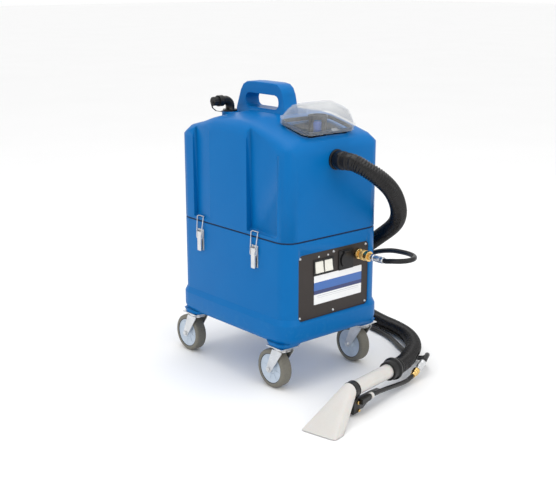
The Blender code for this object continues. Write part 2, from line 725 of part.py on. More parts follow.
def make_socket():
    """The power socket for a powered head: a square flange, a round well, and a sprung lid over it."""
    front = PANEL_FACE - GAP
    socket = box(
        "power_socket",
        (SOCKET_X - 0.0255, front - 0.0035, SOCKET_Z - 0.0255),
        (SOCKET_X + 0.0255, front, SOCKET_Z + 0.0255), BLACK, 0.0012, 1,
    )
    boolean(
        socket,
        rod("socket_case", 0.0218, (SOCKET_X, front - 0.001, SOCKET_Z), (SOCKET_X, front + 0.030, SOCKET_Z)),
        "UNION",
    )
    boolean(
        socket,
        rod("socket_well", 0.0185, (SOCKET_X, front - 0.02, SOCKET_Z), (SOCKET_X, front + 0.014, SOCKET_Z)),
    )
    hinge = pivot("pivot_socket_lid", (SOCKET_X, front - 0.0060, SOCKET_Z + 0.0225))
    lid = rod(
        "socket_lid", 0.0205, (SOCKET_X, front - 0.0038, SOCKET_Z),
        (SOCKET_X, front - 0.0070, SOCKET_Z), BLACK, 24,
    )
    barrel = rod(
        "lid_barrel", 0.0020, (SOCKET_X - 0.012, front - 0.0060, SOCKET_Z + 0.0225),
        (SOCKET_X + 0.012, front - 0.0060, SOCKET_Z + 0.0225), sides=10,
    )
    boolean(lid, barrel, "UNION")
    boolean(
        lid,
        box("lid_tongue", (SOCKET_X - 0.010, front - 0.0068, SOCKET_Z + 0.012), (SOCKET_X + 0.010, front - 0.0042, SOCKET_Z + 0.0225)),
        "UNION",
    )
    hang(lid, hinge)


def make_coupler():
    """The brass quick coupler on the panel, its sliding sleeve, and the hose's plug and ferrule in it."""
    outwards = (0.0, -1.0, 0.0)
    start = (COUPLER_X, PANEL_FACE, COUPLER_Z)
    body = turned("coupler_body", [
        (0.0, 0.0490), (0.0078, 0.0490), (0.0086, 0.0480), (0.0086, 0.0090), (0.0128, 0.0086),
        (0.0135, 0.0076), (0.0135, 0.0012), (0.0128, GAP), (0.0080, GAP), (0.0080, -0.0140), (0.0, -0.0140),
    ], BRASS, steps=16)
    aim(body, start, outwards)
    sleeve = turned("coupler_sleeve", [
        (0.0128, 0.0430), (0.0134, 0.0420), (0.0134, 0.0350), (0.0122, 0.0340), (0.0122, 0.0290),
        (0.0134, 0.0280), (0.0134, 0.0190), (0.0126, 0.0180), (0.00895, 0.0180), (0.00895, 0.0430),
    ], BRASS, steps=16, closed=True)
    aim(sleeve, start, outwards)
    ferrule = turned("solution_ferrule", [
        (0.0, 0.0930), (0.0078, 0.0930), (0.0084, 0.0915), (0.0084, 0.0660), (0.0072, 0.0645),
        (0.0072, 0.0600), (0.0088, 0.0590), (0.0088, 0.0510), (0.0078, 0.0493), (0.0, 0.0493),
    ], ZINC, steps=16)
    aim(ferrule, start, outwards)
    return Vector(start) + Vector(outwards) * 0.0933


def make_power_gland():
    """The rear cable gland where the mains lead enters."""
    gland = turned("power_gland", [
        (0.0, 0.0260), (0.0060, 0.0260), (0.0080, 0.0220), (0.0135, 0.0180), (0.0140, 0.0060),
        (0.0165, 0.0055), (0.0165, GAP), (0.0110, GAP), (0.0110, -0.0140), (0.0, -0.0140),
    ], BLACK, steps=16)
    aim(gland, (GLAND_X, -FRONT, GLAND_Z), (0.0, 1.0, 0.0))


# ---------------------------------------------------------------- casters
AXLE_RADIUS = 0.0045


def make_caster(name, x, y):
    """A swivel caster: the mounting plate with its bearing head, the fork with its axle, and the wheel."""
    top = BOSS_BOTTOM - GAP
    plate = box(
        f"caster_plate_{name}", (x - 0.029, y - 0.029, top - 0.003),
        (x + 0.029, y + 0.029, top), ZINC, 0.0008, 1,
    )
    boolean(plate, rod("head", 0.0215, (x, y, top - 0.010), (x, y, top - 0.002), sides=16), "UNION")
    swivel = pivot(f"swivel_{name}", (x, y, 0.0))
    crown_top = top - 0.010 - GAP
    crown_bottom = crown_top - 0.0028
    fork = rod(f"caster_fork_{name}", 0.0222, (x, y, crown_bottom), (x, y, crown_top), ZINC, 16)
    axle_y = y + TRAIL
    for side in (-1, 1):
        leg = [
            (y - 0.018, crown_top - 0.0005), (y - 0.018, crown_bottom - 0.003),
            (axle_y - 0.009, WHEEL_RADIUS - 0.004),
            (axle_y - 0.004, WHEEL_RADIUS - 0.009), (axle_y + 0.005, WHEEL_RADIUS - 0.009),
            (axle_y + 0.010, WHEEL_RADIUS - 0.002), (y + 0.019, crown_bottom - 0.004),
            (y + 0.016, crown_top - 0.0005),
        ]
        inner, outer = x + side * 0.0188, x + side * 0.0212
        boolean(fork, loft(f"leg_{name}_{side}", [[(px, py, pz) for py, pz in leg] for px in (inner, outer)]), "UNION")
    axle = rod(
        "axle", AXLE_RADIUS, (x - 0.0250, axle_y, WHEEL_RADIUS),
        (x + 0.0250, axle_y, WHEEL_RADIUS), sides=10,
    )
    boolean(fork, axle, "UNION")
    hang(smooth(fork), swivel)
    half = WHEEL_WIDTH / 2
    wheel = turned(f"caster_wheel_{name}", [
        (0.0445, half), (WHEEL_RADIUS, half - 0.0065), (WHEEL_RADIUS, 0.0065 - half), (0.0445, -half),
        (0.0365, 0.003 - half), (0.0120, -half - 0.0015), (AXLE_RADIUS + 0.0004, -half - 0.0015),
        (AXLE_RADIUS + 0.0004, half + 0.0015), (0.0120, half + 0.0015), (0.0365, half - 0.003),
    ], HUB, steps=20, closed=True)
    aim(wheel, (x, axle_y, WHEEL_RADIUS), (1.0, 0.0, 0.0))
    hang(wheel, swivel)


# ---------------------------------------------------------------- hand tool
TOOL_PLACE = Vector((-0.2553, -0.4305, 0.0))
TOOL_HEADING = math.radians(12.2)
TOOL_FRAME = Matrix.Translation(TOOL_PLACE) @ Matrix.Rotation(TOOL_HEADING, 4, "Z")
PIPE_SIDE = -0.0175


def in_tool(along, side, z):
    """A point of the hand tool, in its own frame: along the tool from the mouth, across it, and up."""
    return TOOL_FRAME @ Vector((along, side, z))


NECK = Vector((0.128, 0.0, 0.0645))
TUBE_END = Vector((0.322, 0.0, 0.0575))
MOUTH_HALF_DEPTH = 0.021
MOUTH_HALF_WIDTH = 0.0475
SQUARENESS = 0.24


def make_nozzle():
    """The white nozzle: a flared hood from a long narrow mouth on the floor up to the round tube, open inside."""
    def section(share, shrink):
        steps = 24
        ring = []
        for step in range(steps):
            angle = 2 * HALF_TURN * (step + 0.5) / steps
            c, s = math.cos(angle), math.sin(angle)
            flat = Vector((
                MOUTH_HALF_DEPTH + (MOUTH_HALF_DEPTH - shrink) * math.copysign(abs(c) ** SQUARENESS, c),
                (MOUTH_HALF_WIDTH - shrink) * math.copysign(abs(s) ** SQUARENESS, s), 0.0015,
            ))
            radius = TUBE_RADIUS + 0.0022 - shrink
            tube_way = (TUBE_END - NECK).normalized()
            up = Vector((0.0, 1.0, 0.0)).cross(tube_way) * -1
            round_ = NECK + up * (radius * c * -1) + Vector((0.0, radius * s, 0.0))
            ring.append(tuple(TOOL_FRAME @ flat.lerp(round_, share)))
        return ring

    nozzle = loft("tool_nozzle", [section(share, 0.0) for share in (0.0, 0.35, 0.7, 1.0)], WHITE)
    boolean(nozzle, loft("nozzle_hollow", [section(share, 0.0026) for share in (-0.02, 0.35, 0.7, 1.02)]))
    return smooth(nozzle)


def make_tool_tube():
    """The tool's straight white tube, open from end to end, with a black band at the nozzle."""
    way = (TUBE_END - NECK).normalized()
    start, end = NECK + way * 0.0006, TUBE_END
    length = (end - start).length
    pipe = turned("tool_tube", [
        (TUBE_RADIUS, length), (TUBE_RADIUS, 0.0), (TUBE_RADIUS - 0.0022, 0.0),
        (TUBE_RADIUS - 0.0022, length),
    ], WHITE, steps=20, closed=True)
    aim(pipe, TOOL_FRAME @ start, (TOOL_FRAME.to_3x3() @ way))
    band = turned("tool_band", [
        (0.0205, 0.020), (0.0210, 0.019), (0.0210, 0.001), (0.0205, 0.0),
        (TUBE_RADIUS + 0.0005, 0.0), (TUBE_RADIUS + 0.0005, 0.020),
    ], BLACK, steps=20, closed=True)
    aim(band, TOOL_FRAME @ (start + way * 0.0010), (TOOL_FRAME.to_3x3() @ way))
    collar = turned("tool_collar", [
        (0.0, 0.048), (0.0222, 0.048), (0.0228, 0.047), (0.0228, 0.030), (0.0285, 0.029), (0.0285, 0.024),
        (0.0240, 0.022), (0.0240, 0.001), (0.0235, 0.0), (TUBE_RADIUS + GAP, 0.0),
        (TUBE_RADIUS + GAP, 0.0215),
        (0.0, 0.0215),
    ], BLACK, steps=20)
    aim(collar, TOOL_FRAME @ (end - way * 0.0210), (TOOL_FRAME.to_3x3() @ way))
    return TOOL_FRAME @ (end + way * (0.027 + GAP)), (TOOL_FRAME.to_3x3() @ way)


def tool_box(name, low, high, finish=None, bevel=0.0):
    made = box(name, low, high, finish, bevel, 1)
    made.matrix_world = TOOL_FRAME @ Matrix.Translation((Vector(low) + Vector(high)) / 2)
    return made


def make_valve_and_trigger():
    """The spray valve under the tube, its sprung trigger, and the pipe that feeds it from the solution hose."""
    valve = tool_box("tool_valve", (0.130, -0.013, 0.0055), (0.158, 0.013, 0.0405), BLACK, 0.002)
    fork = tool_box("valve_fork", (0.150, -0.011, 0.020), (0.176, 0.011, 0.036), bevel=0.001)
    boolean(valve, fork, "UNION")
    boolean(valve, tool_box("fork_slot", (0.159, -0.0078, 0.000), (0.19, 0.0078, 0.044)))
    feed = tool_box("feed_boss", (0.150, -0.0245, 0.0280), (0.190, -0.0108, 0.0410), bevel=0.001)
    boolean(valve, feed, "UNION")
    hinge_at = in_tool(0.170, 0.0, 0.0280)
    pin = rod(
        "trigger_pin", 0.0018, in_tool(0.170, -0.0105, 0.0280), in_tool(0.170, 0.0105, 0.0280), sides=10,
    )
    boolean(valve, pin, "UNION")
    hinge = pivot("pivot_trigger", hinge_at)
    side = [
        (0.1620, 0.0240), (0.1640, 0.0120), (0.1700, 0.0060), (0.1800, 0.0050), (0.1950, 0.0110),
        (0.2200, 0.0180),
        (0.2500, 0.0210), (0.2620, 0.0225), (0.2630, 0.0265), (0.2300, 0.0300), (0.1780, 0.0330),
        (0.1700, 0.0332),
        (0.1640, 0.0310),
    ]
    rings = [[tuple(in_tool(a, across, z)) for a, z in side] for across in (-0.0070, 0.0070)]
    trigger = loft("trigger_lever", rings, GREY)
    bore = rod("trigger_bore", 0.0022, in_tool(0.170, -0.02, 0.0280), in_tool(0.170, 0.02, 0.0280), sides=10)
    boolean(trigger, bore)
    hang(trigger, hinge)
    route = [
        (0.1904, 0.0345), (0.215, 0.0340), (0.245, 0.0310), (0.290, 0.0250), (0.335, 0.0185), (0.372, 0.0152),
        (0.3945, 0.0187),
    ]
    pipe_path = smooth_path([in_tool(a, PIPE_SIDE, z) for a, z in route], 0.022)
    tube("tool_pipe", pipe_path, 0.0058, BLACK, resolution=2)
    swivel_start = in_tool(0.3982, PIPE_SIDE, 0.0199)
    way = (in_tool(0.455, PIPE_SIDE, 0.0410) - swivel_start).normalized()
    swivel = turned("tool_swivel", [
        (0.0, 0.026), (0.0062, 0.026), (0.0072, 0.025), (0.0088, 0.023), (0.0095, 0.021), (0.0095, 0.010),
        (0.0080, 0.008), (0.0072, 0.007), (0.0072, 0.001), (0.0068, 0.0), (0.0, 0.0),
    ], BRASS, steps=16)
    aim(swivel, swivel_start, way)
    ferrule = turned("tool_ferrule", [
        (0.0, 0.032), (0.0078, 0.032), (0.0084, 0.0305), (0.0084, 0.006), (0.0070, 0.0045),
        (0.0070, GAP), (0.0, GAP),
    ], ZINC, steps=16)
    aim(ferrule, swivel_start + way * 0.026, way)
    return swivel_start + way * (0.058 + 2 * GAP), way


# ---------------------------------------------------------------- hoses
VACUUM_ROUTE = (
    (0.010, -0.3020, 0.5610), (0.036, -0.3250, 0.5380), (0.075, -0.3280, 0.5050), (0.125, -0.3040, 0.4620),
    (0.175, -0.2640, 0.4150), (0.213, -0.2120, 0.3720), (0.240, -0.1300, 0.3180), (0.255, -0.0450, 0.2600),
    (0.263, 0.0450, 0.1900), (0.262, 0.1350, 0.1200), (0.250, 0.2250, 0.0620), (0.235, 0.3100, 0.0310),
    (0.226, 0.3900, 0.0215), (0.240, 0.4750, 0.0215), (0.290, 0.5500, 0.0215), (0.365, 0.5950, 0.0215),
    (0.450, 0.5950, 0.0215), (0.530, 0.5500, 0.0215), (0.580, 0.4750, 0.0215), (0.592, 0.3900, 0.0215),
    (0.565, 0.3000, 0.0215), (0.505, 0.2150, 0.0215), (0.445, 0.1350, 0.0215), (0.402, 0.0500, 0.0215),
    (0.381, -0.0300, 0.0215), (0.372, -0.0880, 0.0215), (0.354, -0.1440, 0.0225), (0.3128, -0.2042, 0.0290),
    (0.2556, -0.2606, 0.0390), (0.1940, -0.3055, 0.0490), (0.1380, -0.3390, 0.0550),
)
SOLUTION_ROUTE = (
    (0.0825, -0.3340, 0.3260), (0.088, -0.3520, 0.3285), (0.102, -0.3655, 0.3305), (0.122, -0.3660, 0.3310),
    (0.141, -0.3520, 0.3305), (0.156, -0.3260, 0.3285), (0.169, -0.2860, 0.3240), (0.181, -0.2320, 0.3150),
    (0.190, -0.1700, 0.2960), (0.196, -0.1100, 0.2640), (0.201, -0.0550, 0.2250),
    (0.207, 0.0150, 0.1560), (0.216, 0.0800, 0.0880),
    (0.230, 0.1400, 0.0370), (0.250, 0.1950, 0.0115), (0.278, 0.2500, 0.0068), (0.288, 0.3200, 0.0068),
    (0.288, 0.4000, 0.0068), (0.315, 0.4750, 0.0068), (0.370, 0.5250, 0.0068), (0.440, 0.5270, 0.0068),
    (0.500, 0.4820, 0.0068), (0.528, 0.4100, 0.0068), (0.515, 0.3250, 0.0068), (0.466, 0.2400, 0.0068),
    (0.412, 0.1580, 0.0068), (0.371, 0.0720, 0.0068), (0.352, 0.0000, 0.0068), (0.343, -0.0550, 0.0068),
    (0.331, -0.1000, 0.0068), (0.313, -0.1400, 0.0068), (0.294, -0.1750, 0.0068), (0.277, -0.2100, 0.0068),
    (0.268, -0.2430, 0.0069), (0.262, -0.2720, 0.0100), (0.255, -0.2970, 0.0190), (0.243, -0.3180, 0.0330),
    (0.225, -0.3350, 0.0455),
)


def between(start, start_way, route, end, end_way, straight, spacing):
    """A path that leaves start along start_way, follows the route and arrives at end from its end_way side."""
    first, last = start + start_way * straight, end + end_way * straight
    return [start, *smooth_path([first, *route, last], spacing), end]


def make_hoses(ferrule_end, collar_end, collar_way, tool_end, tool_way):
    """The suction hose and the thin solution hose: from the machine down its right side, one turn on the floor
    behind it, and forward again to the hand tool."""
    outwards = Vector((0.0, -1.0, 0.0))
    cuff_end = Vector((0.0, FRONT - 0.0468, PORT_Z))
    path = between(cuff_end, outwards, VACUUM_ROUTE, collar_end, collar_way, 0.014, 0.088)
    tube("vacuum_hose", path, VACUUM_HOSE / 2, HOSE_BLACK)
    path = between(ferrule_end, outwards, SOLUTION_ROUTE, tool_end, tool_way, 0.006, 0.038)
    tube("solution_hose", path, SOLUTION_HOSE / 2, HOSE_BLACK)


# ---------------------------------------------------------------- assembly
def main():
    make_base_housing()
    deck = make_chassis()
    make_vacuum_motor(deck)
    make_pump(deck)
    make_gasket()
    make_tank()
    hinge_point = LID_CENTRE + Matrix.Rotation(LID_TILT, 4, "X") @ Vector(
        (0.0, LID_DEPTH / 2 + 0.001, 0.0045),
    )
    make_lid(pivot("pivot_lid", hinge_point))
    make_lid_seal()
    make_float()
    make_hose_port()
    make_elbow()
    for side, letter in ((-1, "left"), (1, "right")):
        for where, y in LATCH_PLACES.items():
            make_latch(f"{where}_{letter}", side, y)
    make_panel()
    make_switches()
    make_socket()
    ferrule_end = make_coupler()
    make_power_gland()
    for sx, letter in ((-1, "left"), (1, "right")):
        for sy, where in ((-1, "front"), (1, "rear")):
            make_caster(f"{where}_{letter}", sx * SWIVEL_X, sy * SWIVEL_Y)
    make_nozzle()
    collar_end, collar_way = make_tool_tube()
    tool_end, tool_way = make_valve_and_trigger()
    make_hoses(ferrule_end, collar_end, collar_way, tool_end, tool_way)
    for obj in bpy.data.objects:
        if obj.parent is None:
            obj.location += SHIFT


main()
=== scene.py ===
# %% [markdown]
# # A carpet cleaner on four casters, with its hoses and hand tool
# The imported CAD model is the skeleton: every joint and every size comes from it. This lesson
# dresses it. Each cell takes one piece or one finish, says what it is on the real machine, and then
# makes it.

# %% Load the frame
import math

import bmesh
import bpy
from mathutils import Matrix, Vector


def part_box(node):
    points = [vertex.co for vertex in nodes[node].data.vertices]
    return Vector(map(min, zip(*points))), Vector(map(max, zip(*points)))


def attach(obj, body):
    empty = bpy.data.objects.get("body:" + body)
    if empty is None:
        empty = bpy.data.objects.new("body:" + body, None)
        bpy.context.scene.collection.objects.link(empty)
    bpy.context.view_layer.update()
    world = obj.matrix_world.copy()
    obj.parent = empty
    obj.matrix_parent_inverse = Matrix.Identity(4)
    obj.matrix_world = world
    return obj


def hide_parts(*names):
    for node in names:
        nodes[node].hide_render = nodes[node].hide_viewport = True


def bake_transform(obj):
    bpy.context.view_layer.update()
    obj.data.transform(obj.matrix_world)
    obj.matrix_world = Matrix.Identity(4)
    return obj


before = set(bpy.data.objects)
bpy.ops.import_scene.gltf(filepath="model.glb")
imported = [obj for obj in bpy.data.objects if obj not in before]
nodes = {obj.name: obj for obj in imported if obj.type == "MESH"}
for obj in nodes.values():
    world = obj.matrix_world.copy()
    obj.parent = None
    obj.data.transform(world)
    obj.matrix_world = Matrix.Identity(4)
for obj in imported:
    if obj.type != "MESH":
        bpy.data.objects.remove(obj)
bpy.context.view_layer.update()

# %% [markdown]
# The machine was drawn about its own middle and then moved, so that the box round the machine and
# its hand tool sits on the origin. Points below are easier to read about the machine's middle, so
# one helper adds the move. Two more helpers find a node's middle and put a new object in the scene.

# %% Helpers for places
MIDDLE = Vector((0.0468, 0.1091, 0.0))


def place(x, y, z):
    """A point given about the machine's own middle, in the frame."""
    return Vector((x, y, z)) + MIDDLE


def middle_of(node):
    low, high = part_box(node)
    return (low + high) / 2


def put_in_scene(obj):
    bpy.context.scene.collection.objects.link(obj)
    return obj


print("machine's middle", tuple(round(v, 4) for v in MIDDLE))

# %% [markdown]
# ## Camera, floor and light
# A product view: a long lens from the front left, a little above. The floor is a plain pale sheet,
# and three broad lamps give soft edges. Broad lamps are chosen because moulded plastic shows its
# form through long soft highlights.

# %% Camera
SENSOR_MM, LENS_MM = 36.0, 65.82
CAMERA_AT = place(-1.7010, -1.9626, 1.0049)
CAMERA_TILT, CAMERA_HEADING = math.radians(74.7785), math.radians(-40.9094)
camera = put_in_scene(bpy.data.objects.new("camera", bpy.data.cameras.new("camera")))
camera.data.sensor_width = SENSOR_MM
camera.data.lens = LENS_MM
camera.location = CAMERA_AT
camera.rotation_euler = (CAMERA_TILT, 0.0, CAMERA_HEADING)
bpy.context.scene.camera = camera
print("camera at", tuple(round(v, 3) for v in camera.location))

# %% Lamps and surroundings
bpy.context.scene.view_settings.view_transform = "Standard"
world = bpy.data.worlds.new("studio")
bpy.context.scene.world = world
world.use_nodes = True
surroundings = world.node_tree.nodes["Background"].inputs
surroundings["Color"].default_value = (1.0, 1.0, 1.0, 1.0)
surroundings["Strength"].default_value = 1.0


def lamp(name, where, towards, size, power):
    """A square area lamp that faces a point."""
    light = bpy.data.lights.new(name, "AREA")
    light.size = size
    light.energy = power
    holder = put_in_scene(bpy.data.objects.new(name, light))
    holder.location = where
    way = Vector(towards) - Vector(where)
    holder.rotation_euler = way.to_track_quat("-Z", "Y").to_euler()


lamp("top_light", (0.1, -0.1, 2.6), (0.1, 0.1, 0.4), 1.8, 20.0)
lamp("front_light", (0.3, -2.6, 1.5), (0.1, 0.0, 0.4), 1.4, 9.0)
lamp("side_light", (-2.8, 0.2, 1.4), (0.0, 0.1, 0.35), 1.6, 7.0)

# %% [markdown]
# ## Shader maths as plain sums
# Every finish varies over its surface: grain, small changes of tone, scuffs. Written out node by
# node that is long and hard to read, so one small class wraps a socket. An expression such as `1 -
# mask * 0.3` then adds its own nodes.


# %% The paint box
class Value:
    """A socket in a material's tree that sums can be written with."""

    def __init__(self, paint, socket):
        self.paint = paint
        self.socket = socket

    def sum(self, operation, other, swap=False, clamp=False):
        first, second = (other, self) if swap else (self, other)
        settings = {"operation": operation, "use_clamp": clamp}
        return self.paint.node("ShaderNodeMath", settings, {0: first, 1: second})

    def __add__(self, other):
        return self.sum("ADD", other)

    def __sub__(self, other):
        return self.sum("SUBTRACT", other)

    def __rsub__(self, other):
        return self.sum("SUBTRACT", other, swap=True)

    def __mul__(self, other):
        return self.sum("MULTIPLY", other)

    def __gt__(self, other):
        return self.sum("GREATER_THAN", other)

    def __lt__(self, other):
        return self.sum("LESS_THAN", other)

    def to(self, power):
        return self.sum("POWER", power)

    def clamped(self):
        return self.sum("ADD", 0.0, clamp=True)

    __radd__ = __add__
    __rmul__ = __mul__


class Paint:
    """A new Principled material and the few kinds of node that its finish needs."""

    def __init__(self, name, roughness, metallic=0.0, **constants):
        self.material = bpy.data.materials.new(name)
        self.material.use_nodes = True
        self.tree = self.material.node_tree
        self.shader = self.tree.nodes["Principled BSDF"]
        self.shader.inputs["Roughness"].default_value = roughness
        self.shader.inputs["Metallic"].default_value = metallic
        for socket, value in constants.items():
            self.shader.inputs[socket.replace("_", " ")].default_value = value
        self.place = self.node("ShaderNodeTexCoord", {}, {}, "Object")

    def node(self, kind, settings, inputs, output=0):
        """Adds one node: its settings first, then the values or links of its sockets."""
        made = self.tree.nodes.new(kind)
        for name, value in settings.items():
            setattr(made, name, value)
        for socket, value in inputs.items():
            if isinstance(value, Value):
                self.tree.links.new(value.socket, made.inputs[socket])
            else:
                made.inputs[socket].default_value = value
        return Value(self, made.outputs[output])

    def noise(self, scale, detail=2.0, roughness=0.5, where=None):
        inputs = {"Vector": where or self.place, "Scale": scale}
        inputs.update({"Detail": detail, "Roughness": roughness})
        return self.node("ShaderNodeTexNoise", {}, inputs)

    def centred(self, at, scale=(1.0, 1.0, 1.0)):
        """The surface's place, measured from a point."""
        inputs = {"Vector": self.place, "Location": at, "Scale": scale}
        return self.node("ShaderNodeMapping", {"vector_type": "TEXTURE"}, inputs)

    def parts(self, vector):
        split = self.tree.nodes.new("ShaderNodeSeparateXYZ")
        self.tree.links.new(vector.socket, split.inputs[0])
        return [Value(self, output) for output in split.outputs]

    def blend(self, mask, low, high):
        """One colour where the mask is 0 and the other where it is 1."""
        made = self.tree.nodes.new("ShaderNodeMix")
        made.data_type = "RGBA"
        self.tree.links.new(mask.socket, made.inputs["Factor"])
        for socket, colour in ((made.inputs[6], low), (made.inputs[7], high)):
            if isinstance(colour, Value):
                self.tree.links.new(colour.socket, socket)
            else:
                socket.default_value = (*colour, 1.0)
        return Value(self, made.outputs[2])

    def feed(self, socket, value):
        self.tree.links.new(value.socket, self.shader.inputs[socket])
        return self

    def colour(self, value):
        return self.feed("Base Color", value)

    def rough(self, value):
        return self.feed("Roughness", value)

    def bump(self, height, distance, strength=0.4, edge=0.0):
        """Raises the surface by a height pattern. With edge, corners also catch light as if rounded."""
        inputs = {"Height": height, "Distance": distance, "Strength": strength}
        if edge:
            inputs["Normal"] = self.node("ShaderNodeBevel", {"samples": 4}, {"Radius": edge})
        self.feed("Normal", self.node("ShaderNodeBump", {}, inputs))
        return self


print("paint box ready")

# %% [markdown]
# ## The finishes
# The tank and the body are rotation-moulded in one blue plastic. Its skin is a fine orange peel, a
# little cloudy, and duller where hands and carpets rub it. A noise for the peel and a slower one
# for the cloud give that without any picture of plastic.


# %% Moulded blue
RUB_TOP = 0.20


def moulded_blue():
    """The scuffs fade out from the floor up to the height RUB_TOP."""
    paint = Paint("moulded_blue", 0.36, Specular_IOR_Level=0.11)
    cloud = paint.noise(9.0, 3.0)
    peel = paint.noise(520.0, 2.0)
    height = paint.parts(paint.place)[2]
    rubbed = (paint.noise(70.0, 4.0) > 0.60) * ((RUB_TOP - height) * 9.0).clamped()
    tone = paint.blend(cloud, (0.0006, 0.124, 0.380), (0.0010, 0.146, 0.425))
    paint.colour(paint.blend(rubbed * 0.22, tone, (0.05, 0.22, 0.44)))
    paint.rough(0.30 + cloud * 0.12 + rubbed * 0.10)
    return paint.bump(peel, 0.0004, 0.22, edge=0.0022).material


BLUE = moulded_blue()
print(BLUE.name)

# %% [markdown]
# The lid is clear plastic that has clouded a little and lies over a dark opening. A true glass
# shader is slow and noisy on a thin shell, so the lid is mostly see-through, and grows denser where
# it turns edge on.


# %% Clear lid
def clear_lid():
    paint = Paint("clear_lid", 0.07, Specular_IOR_Level=0.8, Coat_Weight=0.6, Coat_Roughness=0.03)
    edge = paint.node("ShaderNodeLayerWeight", {}, {"Blend": 0.35}, "Facing")
    streaks = paint.noise(60.0, 3.0)
    paint.colour(paint.blend(streaks, (0.50, 0.53, 0.55), (0.66, 0.68, 0.70)))
    paint.feed("Alpha", (0.06 + edge.to(1.6) * 0.62 + streaks * 0.05).clamped())
    paint.rough(0.05 + streaks * 0.06)
    return paint.bump(streaks, 0.0006, 0.15).material


CLEAR = clear_lid()
print(CLEAR.name)

# %% [markdown]
# Many pieces are one tone of plastic or rubber and differ only in colour, grain and gloss. One
# recipe that takes those makes them all, so that a new finish takes one line.


# %% Plastics and rubbers
def grained(name, dark, light, roughness, grain=600.0, depth=0.0004, edge=0.0, **constants):
    """A grained plastic between two close tones, with a mottled gloss."""
    paint = Paint(name, roughness, **{"Specular_IOR_Level": 0.32, **constants})
    mottle = paint.noise(24.0, 4.0)
    skin = paint.noise(grain, 2.0)
    paint.colour(paint.blend(mottle * 0.6 + skin * 0.4, dark, light))
    paint.rough(roughness - 0.06 + mottle * 0.12)
    return paint.bump(skin, depth, 0.3, edge=edge).material


PANEL = grained("panel_black", (0.022, 0.017, 0.015), (0.044, 0.034, 0.030), 0.50, 900.0, 0.0003, 0.0008)
BLACK = grained("black_plastic", (0.005, 0.005, 0.005), (0.013, 0.013, 0.014), 0.32, 800.0, 0.0002, 0.0008)
HOSE = grained("hose_black", (0.003, 0.0028, 0.003), (0.009, 0.008, 0.0085), 0.27, 500.0, 0.0002)
PIPE = grained("pipe_rubber", (0.005, 0.005, 0.006), (0.013, 0.013, 0.014), 0.34, 700.0, 0.0002)
WHITE = grained(
    "white_plastic", (0.55, 0.53, 0.50), (0.66, 0.64, 0.61), 0.30, 300.0, 0.0003,
    Subsurface_Weight=0.12, Subsurface_Scale=0.004,
)
SWITCH = grained("switch_cream", (0.76, 0.74, 0.66), (0.86, 0.84, 0.77), 0.28, 900.0, 0.0002, 0.0008)
GREY = grained("grey_plastic", (0.055, 0.055, 0.058), (0.10, 0.10, 0.104), 0.46, 700.0, 0.0003, 0.0010)
SEAM = grained("seam_rubber", (0.0012, 0.012, 0.045), (0.002, 0.020, 0.070), 0.6)
SEAL = grained("seal_rubber", (0.006, 0.006, 0.006), (0.016, 0.016, 0.016), 0.68, 700.0, 0.0003)
FLOAT = grained("float_blue", (0.006, 0.070, 0.36), (0.012, 0.105, 0.50), 0.35, 400.0, 0.0003)
print("plastics", PANEL.name, BLACK.name, HOSE.name, WHITE.name, GREY.name)

# %% [markdown]
# Bright zinc, brass and cast alloy are all metals with a worked skin: fine lines left by the tool,
# and a patchy tarnish that dulls the shine in places.


# %% Metals
def metal(name, clean, dull, roughness, lines=(1.0, 1.0, 30.0), edge=0.0006):
    """A worked metal: streaks along one way, and a slow tarnish over them."""
    paint = Paint(name, roughness, 1.0)
    stretched = paint.centred((0.0, 0.0, 0.0), tuple(1.0 / v for v in lines))
    streak = paint.noise(120.0, 3.0, 0.6, stretched)
    tarnish = paint.noise(45.0, 4.0)
    paint.colour(paint.blend((tarnish * 1.4 - 0.3).clamped(), clean, dull))
    paint.rough(roughness + streak * 0.14 + tarnish * 0.08 - 0.08)
    return paint.bump(streak, 0.0002, 0.15, edge=edge).material


ZINC = metal("zinc_steel", (0.74, 0.75, 0.76), (0.56, 0.57, 0.58), 0.26)
BRASS = metal("brass", (0.86, 0.60, 0.25), (0.62, 0.40, 0.13), 0.22, (30.0, 1.0, 1.0))
ALLOY = metal("motor_alloy", (0.60, 0.61, 0.62), (0.44, 0.45, 0.46), 0.42, (1.0, 1.0, 1.0))
print("metals", ZINC.name, BRASS.name, ALLOY.name)

# %% [markdown]
# ## Cords first
# Two hoses run from the machine to the hand tool: a wide ribbed suction hose and a thin smooth one
# for the cleaning solution. They leave the front, drop down the right side, lie in one turn on the
# floor behind the machine, and come forward again. The route is one smooth curve through the same
# points as the frame's own hose.


# %% Routes
def catmull(a, b, c, d, t):
    """The point at t between b and c on a smooth curve through four points."""
    bend = 2 * a - 5 * b + 4 * c - d
    twist = 3 * b - a - 3 * c + d
    return 0.5 * (2 * b + (c - a) * t + bend * t**2 + twist * t**3)


CUTS = 24


def even_path(route, spacing):
    """Points an even distance apart on the smooth curve through the route."""
    points = [Vector(point) for point in route]
    ends = [2 * points[0] - points[1], *points, 2 * points[-1] - points[-2]]
    spans = range(len(points) - 1)
    fine = [catmull(*ends[i : i + 4], step / CUTS) for i in spans for step in range(CUTS)]
    fine.append(points[-1])
    reach = [0.0]
    for before, after in zip(fine, fine[1:]):
        reach.append(reach[-1] + (after - before).length)
    count, path, at = round(reach[-1] / spacing), [], 0
    for step in range(count + 1):
        goal = reach[-1] * step / count
        while at < len(fine) - 2 and reach[at + 1] < goal:
            at += 1
        share = (goal - reach[at]) / (reach[at + 1] - reach[at])
        path.append(fine[at].lerp(fine[at + 1], min(1.0, share)))
    return path


def length_of(path):
    return sum((b - a).length for a, b in zip(path, path[1:]))


